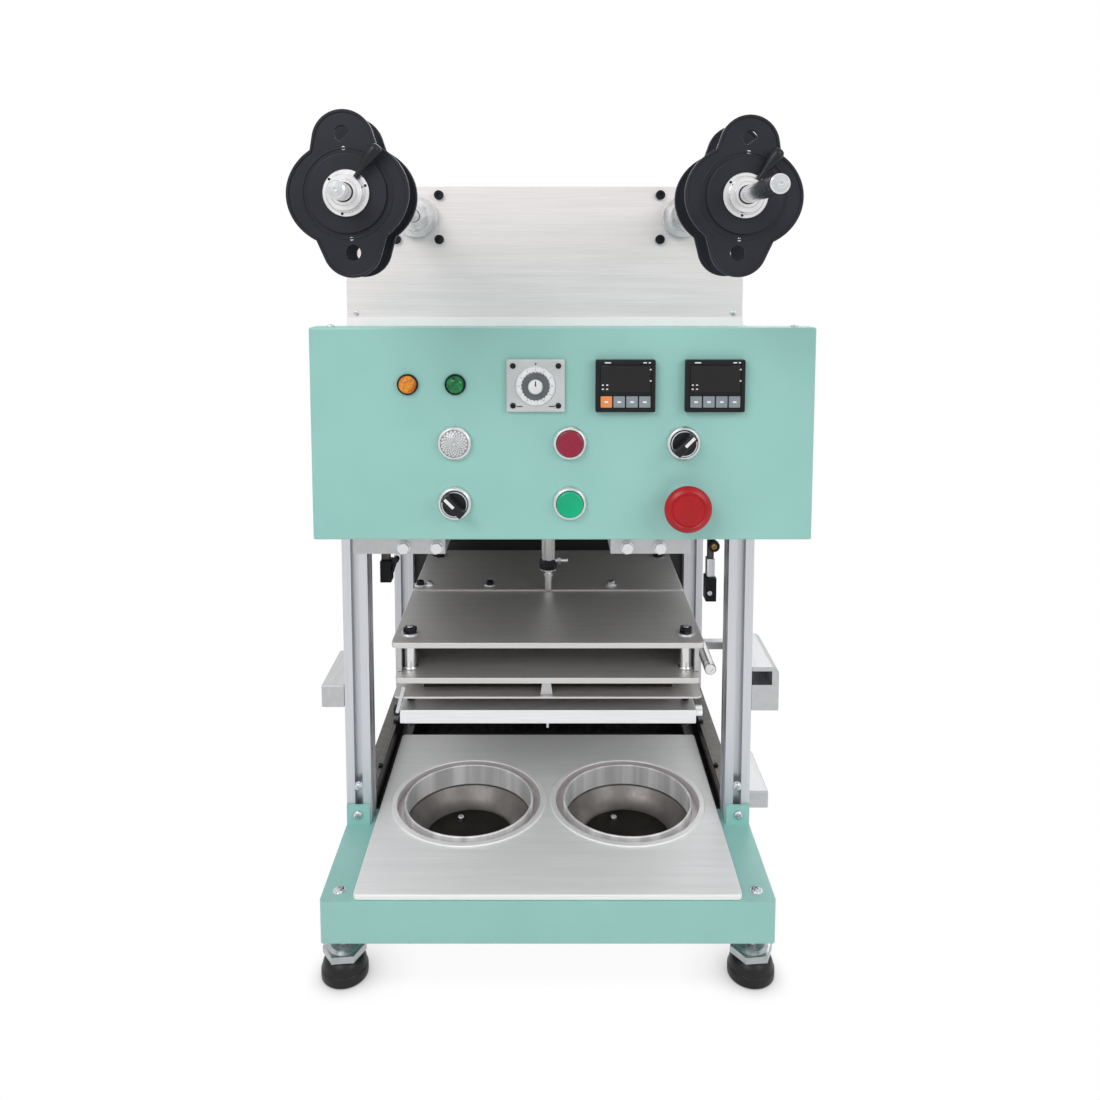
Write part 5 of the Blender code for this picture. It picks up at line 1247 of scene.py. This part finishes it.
# %% Collars and levers
grub_reach = (CLAMP_RADIUS + CLAMP_BODY) / 2 + 0.0002
along = Vector((math.sin(LEVER_TURN), 0, math.cos(LEVER_TURN)))
for side, place in shafts.items():
    at = Vector((place.x, box_of(f"reel_collar_{side}")[1].y, shaft_height))
    shapes = [(turned(collar, at, 80, True), turned_steel)]
    for turn in (math.radians(degrees) for degrees in GRUB_TURNS):
        out = Vector((grub_reach * math.cos(turn), 0.0002 - CLAMP_FLANGE, grub_reach * math.sin(turn)))
        shapes.append((screw(SOCKET_HEAD, GRUB_RADIUS, at + out, FRONTWARD), oxide_steel))
    piece(f"clamping_collar_{side}", shapes, f"{side}_reel_front", [f"reel_collar_{side}"])
    root = at - Vector((0, LEVER_BACK, 0)) + along * (CLAMP_BODY + 0.0003)
    shapes = [(turned(handle, root, 40, facing=along), knob_abs)]
    piece(f"clamp_handle_{side}", shapes, f"{side}_clamp", [f"clamp_lever_{side}"])
print("collars and levers made")

# %% [markdown]
# ## Lamps, buttons and selectors
#
# The controls are the standard 22 mm kind: a metal collar clamps each one in its hole, and the cap, knob or
# lens sits inside the collar. The small pilot lamps have a black rim around a domed lens.

# %% Collars around the controls
FACE_Y = box_of("timer_plate")[1].y + GAP
COLLAR_OUTER, CONTROL_BORE, COLLAR_PROUD = 0.0147, 0.0116, 0.0048


def face_place(node):
    """Where a control's axis meets the fascia."""
    centre = middle(node)
    return Vector((centre.x, FACE_Y, centre.z))


control_places = {
    "red_button": face_place("red_button_cap"),
    "green_button": face_place("green_button_cap"),
    "left_selector": Vector(JOINT["left_selector_turn"]["pos_m"]),
    "right_selector": Vector(JOINT["right_selector_turn"]["pos_m"]),
    "emergency_stop": face_place("emergency_stop_button"),
    "clear_lamp": face_place("clear_lamp"),
}
ring = [(CONTROL_BORE + 0.0001, 0.0001), (COLLAR_OUTER, 0.0001), (COLLAR_OUTER, COLLAR_PROUD * 0.45)]
ring += [(COLLAR_OUTER - 0.0004, COLLAR_PROUD * 0.72), (COLLAR_OUTER - 0.0012, COLLAR_PROUD - 0.0004)]
ring += [(COLLAR_OUTER - 0.0018, COLLAR_PROUD), (CONTROL_BORE + 0.0010, COLLAR_PROUD)]
ring += [(CONTROL_BORE + 0.0008, COLLAR_PROUD + 0.0005), (CONTROL_BORE + 0.0003, COLLAR_PROUD + 0.0005)]
ring += [(CONTROL_BORE + 0.0001, COLLAR_PROUD + 0.0001)]
for name, place in control_places.items():
    piece(f"control_collar_{name}", [(turned(ring, place, 80, True), turned_steel)])
print("collars around", len(control_places), "controls")


# %% [markdown]
# The push caps are dished for a fingertip, and the stop button is a mushroom for the palm. Both are turned
# shapes.

# %% Caps and stop button
def cap_profile(node):
    """A cap's radius, and how far its top and its back stand from the fascia."""
    low, high = box_of(node)
    return (high.x - low.x) / 2, FACE_Y - low.y, FACE_Y - high.y


for colour, material in (("red", button_red), ("green", button_green)):
    name, slot = f"{colour}_button", f"{colour}_cap"
    node = f"{name}_cap"
    radius, top, back = cap_profile(node)
    dish = [(0, back), (radius, back), (radius, top - 0.0012), (radius - 0.0003, top - 0.0004)]
    dish += [(radius - 0.0010, top), (radius - 0.0018, top - 0.0002), (radius * 0.6, top - 0.0009)]
    dish.append((0, top - 0.0011))
    piece(f"dished_cap_{name}", [(turned(dish, control_places[name], 72), material)], name, [node])

# Share of the mushroom's radius, and depth below its top in tenths of a millimetre.
MUSHROOM = ((0.93, 88), (0.985, 78), (1, 60), (0.985, 44), (0.93, 30), (0.84, 18), (0.76, 11), (0.72, 16))
MUSHROOM += ((0.68, 16), (0.65, 8), (0.35, 2), (0, 0))
radius, top, back = cap_profile("emergency_stop_button")
stop = [(0, back), (CONTROL_BORE - 0.0004, back), (CONTROL_BORE - 0.0004, top - 0.0100)]
stop += [(radius * share, top - depth / 10 * MM) for share, depth in MUSHROOM]
shapes = [(turned(stop, control_places["emergency_stop"], 96), stop_red)]
piece("stop_mushroom", shapes, "emergency_stop", ["emergency_stop_button"])
print("caps made")

# %% [markdown]
# The selectors keep their solid knob with its finger bar. A white line let into the bar shows which way it
# points, and a thin bright ring lies between knob and collar.

# %% Selector pointers
SELECTOR_LEAN, POINTER_LENGTH, POINTER_HALF = math.radians(45), 0.0100, 0.0013
RING_WIDE, RING_THICK = 0.0009, 0.0003
ring_low = COLLAR_PROUD + 0.0011
for side, sign in SIDES.items():
    name = f"{side}_selector"
    radius, top, back = cap_profile(f"{name}_knob")
    outline = rounded((-POINTER_HALF, -0.0006), (POINTER_HALF, POINTER_LENGTH), 0.0005)
    line = placed(plate([outline], 0, 0.0003, 0.0001), (0, 0, 0), FRONTWARD)
    place = control_places[name] - Vector((0, top, 0))
    line.transform(Matrix.Translation(place) @ Matrix.Rotation(sign * SELECTOR_LEAN, 4, "Y"))
    outer = radius - 0.0002
    corners = ((-RING_WIDE, 0), (0, 0), (0, RING_THICK), (-RING_WIDE, RING_THICK))
    trim = turned([(outer + x, ring_low + z) for x, z in corners], control_places[name], 64, True)
    piece(f"pointer_{name}", [(line, white_ink), (trim, zinc)], name)
print("pointers drawn")

# %% [markdown]
# A pilot lamp's lens is a dome over a diffuser. The large clear lamp has facets cut behind its face: here
# they are laid as a chessboard around the axis of a shallow dome, at two heights and in two tones; the
# darker tone is painted shade that stands for the facets' sparkle.

# %% Pilot lamps
PILOT_RADIUS, PILOT_RISE, DOME_FOOT = 0.0089, 0.0040, 0.0026
RIM_SHARES = ((0.86, 0.0001), (1, 0.0001), (1, 0.0022), (0.96, 0.0030), (0.88, 0.0030), (0.86, 0.0024))
rim = [(PILOT_RADIUS * share, height) for share, height in RIM_SHARES]
dome = [(0, 0.0006), (PILOT_RADIUS * 0.86, 0.0006), (PILOT_RADIUS * 0.86, 0.0024)]
for turn in (math.radians(9 * i) for i in range(1, 10)):
    dome.append((PILOT_RADIUS * 0.84 * math.cos(turn), DOME_FOOT + PILOT_RISE * math.sin(turn)))
dome.append((0, DOME_FOOT + PILOT_RISE))
for name, material in (("amber", amber_lens), ("green", green_lens)):
    place = face_place(f"{name}_lamp")
    shapes = [(turned(rim, place, 56, True), oxide_steel), (turned(dome, place, 56), material)]
    piece(f"pilot_lens_{name}_lamp", shapes, stands_for=[f"{name}_lamp"])

# %% Clear lamp
FACETS, RINGS, CLEAR_RISE, FACET_DEPTH = 40, 6, 0.0034, 0.0004
clear_radius, clear_place = CONTROL_BORE - 0.0002, control_places["clear_lamp"]


def facets(parity):
    """Every other facet of the lens, like the fields of a chessboard laid around its axis."""
    bm = bmesh.new()
    rings = []
    for ring in range(RINGS + 1):
        radius = clear_radius * (1 - ring / (RINGS + 0.6))
        height = COLLAR_PROUD + CLEAR_RISE * math.sin(math.pi / 2 * ring / RINGS)
        heights = [height + (FACET_DEPTH if (i + ring) % 2 and ring else 0.0) for i in range(FACETS)]
        rings.append([bm.verts.new((x, y, z)) for (x, y), z in zip(circle(radius, steps=FACETS), heights)])
    for ring in range(RINGS):
        for i in range(FACETS):
            j = (i + 1) % FACETS
            if (i + ring) % 2 == parity:
                bm.faces.new((rings[ring][i], rings[ring][j], rings[ring + 1][j], rings[ring + 1][i]))
    if parity:
        bm.faces.new(rings[-1])
    bmesh.ops.delete(bm, geom=[vert for vert in bm.verts if not vert.link_faces], context="VERTS")
    return placed(bm, clear_place, FRONTWARD)


clear_body = turned([(0, 0.0002), (clear_radius, 0.0002), (clear_radius, COLLAR_PROUD)], clear_place, FACETS)
# The darker facets carry painted shade.
shapes = [(clear_body, clear_lens), (facets(0), painted_shade_lens), (facets(1), clear_lens)]
piece("faceted_clear_lens", shapes, stands_for=["clear_lamp"])
print("lamps made")

# %% [markdown]
# ## Timer
#
# A pale plate holds a turning dial. Ticks and plain numbers run around the dial, a grey ribbed ring gives
# grip, and a bright cap in the middle carries the pointer. Numbers are text objects turned into thin raised
# meshes.

# %% Timer knob
DIAL_RADIUS, GRIP_RADIUS, GRIP_TOP, TIMER_CAP, RIB, RIB_STEPS = 0.0166, 0.0120, 0.0050, 0.0062, 0.0006, 96
plate_low, plate_high = box_of("timer_plate")
dial_low, dial_high = box_of("timer_dial")
dial_at = Vector((middle("timer_plate").x, plate_low.y - GAP, middle("timer_plate").z))
cap_top = dial_high.y - dial_low.y
skirt = [(0, 0), (DIAL_RADIUS, 0), (DIAL_RADIUS, 0.0007), (DIAL_RADIUS - 0.0003, 0.0010)]
skirt += [(GRIP_RADIUS, 0.0012), (0, 0.0012)]
turns = [math.tau * i / RIB_STEPS for i in range(RIB_STEPS)]
reaches = [GRIP_RADIUS - (RIB if i % 4 < 2 else 0.0) for i in range(RIB_STEPS)]
rim = [(r * math.cos(t), r * math.sin(t)) for r, t in zip(reaches, turns)]
knob = [(0, GRIP_TOP - 0.0004), (TIMER_CAP, GRIP_TOP - 0.0004), (TIMER_CAP, cap_top - 0.0012)]
knob += [(TIMER_CAP - 0.0008, cap_top - 0.0003), (0, cap_top)]
shapes = [
    (turned(skirt, dial_at, 80), pale_zinc),
    (placed(plate([rim], 0.0008, GRIP_TOP, 0.0003), dial_at, FRONTWARD), scale_abs),
    (turned(knob, dial_at, 64), turned_steel),
]

# %% Timer scale
TICKS, NUMBERS, SWEEP, NUMBER_SIZE, NUMBER_IN = 50, 10, math.radians(300), 0.0019, 0.0029
SCALE_TOP, INK, TICK_HALF = 0.00122, 0.00005, 0.00012


def number(text, at, spin):
    """A printed number, raised by a hair."""
    curve = bpy.data.curves.new("number", "FONT")
    curve.body, curve.size, curve.extrude = text, NUMBER_SIZE, 0.00006
    curve.align_x, curve.align_y = "CENTER", "CENTER"
    return placed(evaluated(bpy.data.objects.new("number", curve)), at, FRONTWARD, spin)


def printed(outline, at):
    """A thin printed mark."""
    return placed(plate([outline], 0, 0.0002, INK), at, FRONTWARD)


for i in range(TICKS + 1):
    tick_in, tick_out = DIAL_RADIUS - (0.0010 if i % 5 else 0.0017), DIAL_RADIUS - 0.0004
    outline = [(-TICK_HALF, tick_in), (TICK_HALF, tick_in), (TICK_HALF, tick_out), (-TICK_HALF, tick_out)]
    tick = plate([outline], 0.0010, SCALE_TOP, 0.00003)
    shapes.append((placed(tick, dial_at, FRONTWARD, SWEEP / 2 - SWEEP * i / TICKS), print_ink))
for i in range(NUMBERS + 1):
    turn = SWEEP * i / NUMBERS - SWEEP / 2
    reach = DIAL_RADIUS - NUMBER_IN
    spot = dial_at + Vector((reach * math.sin(turn), -SCALE_TOP, reach * math.cos(turn)))
    shapes.append((number(str(i), spot, -turn), print_ink))
pointer = [(-0.0007, 0.0006), (0.0007, 0.0006), (0.0003, TIMER_CAP - 0.001), (-0.0003, TIMER_CAP - 0.001)]
shapes.append((printed(pointer, dial_at - Vector((0, cap_top - 0.0002, 0))), print_ink))
piece("timer_knob_and_scale", shapes, "timer_control", ["timer_dial"])
print("timer dial with", NUMBERS + 1, "numbers")

# %% Timer plate
SCREW_IN, PLATE_SCREW, BAR_OUT, BAR_HALF, BAR_LOW, BAR_HIGH = 0.0055, 0.0024, 0.0135, 0.0026, -0.0178, -0.0170
face_at = (dial_at.x, plate_low.y, dial_at.z)
shapes = []
for x in (plate_low.x + SCREW_IN, plate_high.x - SCREW_IN):
    for z in (plate_low.z + SCREW_IN, plate_high.z - SCREW_IN):
        shapes.append((screw(CROSS_HEAD, PLATE_SCREW, (x, plate_low.y, z), FRONTWARD, x * 40), oxide_steel))
mark = [(-0.0010, DIAL_RADIUS + 0.0024), (0.0010, DIAL_RADIUS + 0.0024), (0, DIAL_RADIUS + 0.0006)]
shapes.append((printed(mark, face_at), print_ink))
for x in (-BAR_OUT, BAR_OUT):
    bar = rounded((x - BAR_HALF, BAR_LOW), (x + BAR_HALF, BAR_HIGH), 0.0002, 2)
    shapes.append((printed(bar, face_at), print_ink))
piece("timer_plate_screws", shapes)
print("timer plate screwed on")

# %% [markdown]
# ## Temperature controllers
#
# Each controller is a black case with a smoked window and a row of four soft keys below it. The display is
# dark, as on a machine that is switched off. Only plain marks stand where a maker would print words.

# %% Controllers
WINDOW_IN, WINDOW_TOP, WINDOW_HEIGHT = 0.0042, 0.0048, 0.0225
KEY_SIZE, KEY_GAP, KEY_UP = 0.0096, 0.0011, 0.0040
KEY_ROW = 4 * KEY_SIZE + 3 * KEY_GAP
HEADINGS = ((0.0075, 0.0052), (0.0395, 0.0030), (0.0440, 0.0018))
LIGHTS = ((0.0052, 0.0215), (0.0088, 0.0215), (0.0052, 0.0250), (0.0088, 0.0250))
LIGHTS += ((0.0450, 0.0085), (0.0450, 0.0180))


def slab(corner, size, ease):
    """A small block from its lowest corner and its size."""
    return block(corner, Vector(corner) + Vector(size), ease)


for side in SIDES:
    low, high = box_of(f"temperature_controller_{side}")
    window_low = (low.x + WINDOW_IN, low.y + 0.0003, high.z - WINDOW_TOP - WINDOW_HEIGHT)
    window = block(window_low, (high.x - WINDOW_IN, low.y + 0.0012, high.z - WINDOW_TOP), 0.0002)
    shapes = [(window, smoked_window)]
    for key in range(4):
        x = (low.x + high.x - KEY_ROW) / 2 + key * (KEY_SIZE + KEY_GAP)
        corner = Vector((x, low.y - 0.0003, low.z + KEY_UP))
        colour = orange_key if key == 0 and side == "left" else grey_key
        shapes.append((slab(corner, (KEY_SIZE, 0.0015, KEY_SIZE), 0.0005), colour))
        mark_low = corner + Vector((KEY_SIZE * 0.34, -0.0001, KEY_SIZE * 0.42))
        shapes.append((slab(mark_low, (KEY_SIZE * 0.32, 0.0003, KEY_SIZE * 0.16), 0.00005), white_ink))
    for x, wide in HEADINGS:
        start = (low.x + x, low.y - 0.00005, high.z - 0.0028)
        shapes.append((slab(start, (wide, 0.0003, 0.0010), 0.00005), white_ink))
    for x, z in LIGHTS:
        start = (low.x + x, low.y + 0.00015, high.z - z)
        shapes.append((slab(start, (0.0016, 0.0003, 0.0010), 0.00005), white_ink))
    piece(f"controller_face_{side}", shapes)
print("controllers faced")

# %% [markdown]
# ## Fascia and deck screws
#
# Small pan heads hold the fascia's upper fold. Under the deck, hexagon bolts with broad washers hold the
# two steel blocks.

# %% Fascia and deck screws
FASCIA_SCREW_IN, FASCIA_SCREW_BACK, FASCIA_SCREW_RADIUS, BLOCK_BOLT_UP = 0.0165, 0.0100, 0.0032, 0.0064
BLOCK_BOLTS = {"left": (-0.1333, -0.1027), "right": (0.0734, 0.1039)}
shapes = []
for x in (fascia_low.x + FASCIA_SCREW_IN, fascia_high.x - FASCIA_SCREW_IN):
    spot = (x, FACE_Y + FASCIA_SCREW_BACK, fascia_high.z)
    shapes.append((screw(CROSS_HEAD, FASCIA_SCREW_RADIUS, spot), zinc))
for side, places in BLOCK_BOLTS.items():
    low = box_of(f"guide_block_{side}")[0]
    for x in places:
        spot = Vector((x, low.y, low.z + BLOCK_BOLT_UP))
        shapes.append((washer(0.0062, 0.003, 0.0012, spot, FRONTWARD), pale_zinc))
        shapes.append((hexagon(0.0098, 0.0050, spot - Vector((0, 0.0012, 0)), FRONTWARD, 0.2), pale_zinc))
piece("fascia_and_block_screws", shapes)
print("fascia and block screws set")

# %% [markdown]
# ## Limit switches and fitting
#
# Beside the head hang small black switches whose levers the head's plates touch at the top of the stroke,
# and an air fitting with a black release ring around a brass bore.

# %% Switches
BLOCK_UNDER, DECK_UNDER = box_of("guide_block_left")[0].z, box_of("deck_plate")[0].z
SWITCH_Y = base_low.y + 0.172
left_low, right_low = Vector((-0.1795, SWITCH_Y, 0.3240)), Vector((0.1685, SWITCH_Y, 0.3030))
hanger_low = left_low + Vector((0.001, 0.004, 0.0235))
bracket_low = right_low + Vector((0.0015, 0.003, 0.026))
strap_low = right_low + Vector((0.0025, 0.005, 0.046))
lever_low, lever_high = (-0.1690, SWITCH_Y + 0.003, 0.3290), Vector((-0.1625, SWITCH_Y + 0.003, 0.3490))
button, roller_half = right_low + Vector((0.004, -0.002, 0.010)), Vector((0, 0.004, 0))
shapes = [
    (slab(left_low, (0.0120, 0.016, 0.0235), 0.0008), case_abs),
    (block(hanger_low, (-0.1695, SWITCH_Y + 0.012, BLOCK_UNDER), 0.0004), rail_and_shade_steel),
    (rod(0.0020, lever_low, lever_high, 20, 0.0004), oxide_steel),
    (rod(0.0034, lever_high - roller_half, lever_high + roller_half * 0.75, 28, 0.0005), knob_abs),
    (slab(right_low, (0.0115, 0.018, 0.026), 0.0008), case_abs),
    (slab(bracket_low, (0.0085, 0.012, 0.020), 0.0006), pale_zinc),
    (block(strap_low, (0.1775, SWITCH_Y + 0.012, DECK_UNDER), 0.0004), rail_and_shade_steel),
    (rod(0.0026, button, button + Vector((0, 0.003, 0)), 24, 0.0003), zinc),
]
piece("limit_switches", shapes)

# %% Air fitting
fitting_at = Vector((0.1765, SWITCH_Y + 0.004, 0.3640))
release = [(0.0026, 0), (0.0062, 0), (0.0062, 0.0050), (0.0054, 0.0062), (0.0036, 0.0062), (0.0026, 0.0050)]
sleeve = [(0.0018, 0.0), (0.0030, 0.0), (0.0030, 0.0056), (0.0018, 0.0056)]
hanger_low = fitting_at + Vector((-0.004, 0.006, 0))
shapes = [
    (turned(release, fitting_at, 48, True), knob_abs),
    (turned(sleeve, fitting_at, 40, True), brass),
    (rod(0.0044, fitting_at + Vector((0, 0.012, 0)), fitting_at, 32, 0.0004), pale_zinc),
    (block(hanger_low, (0.1800, SWITCH_Y + 0.018, DECK_UNDER), 0.0005), pale_zinc),
]
piece("air_fitting", shapes)
print("switches and fitting hung")

# %% [markdown]
# ## Film roller
#
# A free-turning steel roller guides the film. It has a shallow groove near each end and is eased at its
# edges.

# %% Film roller
low, high = box_of("film_roller_right")
radius, length, END_EASE, GROOVE_DEPTH = (high.x - low.x) / 2, high.y - low.y, 0.0008, 0.0005
half = [(radius - END_EASE, 0), (radius, END_EASE), (radius, 0.0050), (radius - GROOVE_DEPTH, 0.0054)]
half += [(radius - GROOVE_DEPTH, 0.0062), (radius, 0.0066)]
profile = [(0, 0)] + half + [(reach, length - height) for reach, height in reversed(half)]
profile += [(0.0024, length), (0.0020, length - 0.0010), (0, length - 0.0010)]
at = ((low.x + high.x) / 2, high.y, (low.z + high.z) / 2)
shapes = [(turned(profile, at), turned_steel)]
piece("ground_film_roller", shapes, "right_roller", stands_for=["film_roller_right"])
print("roller turned:", round(length, 3), "m long")

# %% [markdown]
# ## Finish
#
# The scene's triangles are counted at the end. The dressed model may not be larger than the solids.


# %% Finish
def plain(bounds):
    """Bounds as plain lists of numbers."""
    return [[float(v) for v in corner] for corner in bounds]


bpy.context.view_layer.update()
triangles = sum(len(f.vertices) - 2 for o in bpy.data.objects if o.type == "MESH" for f in o.data.polygons)
print("triangles in the scene:", triangles)
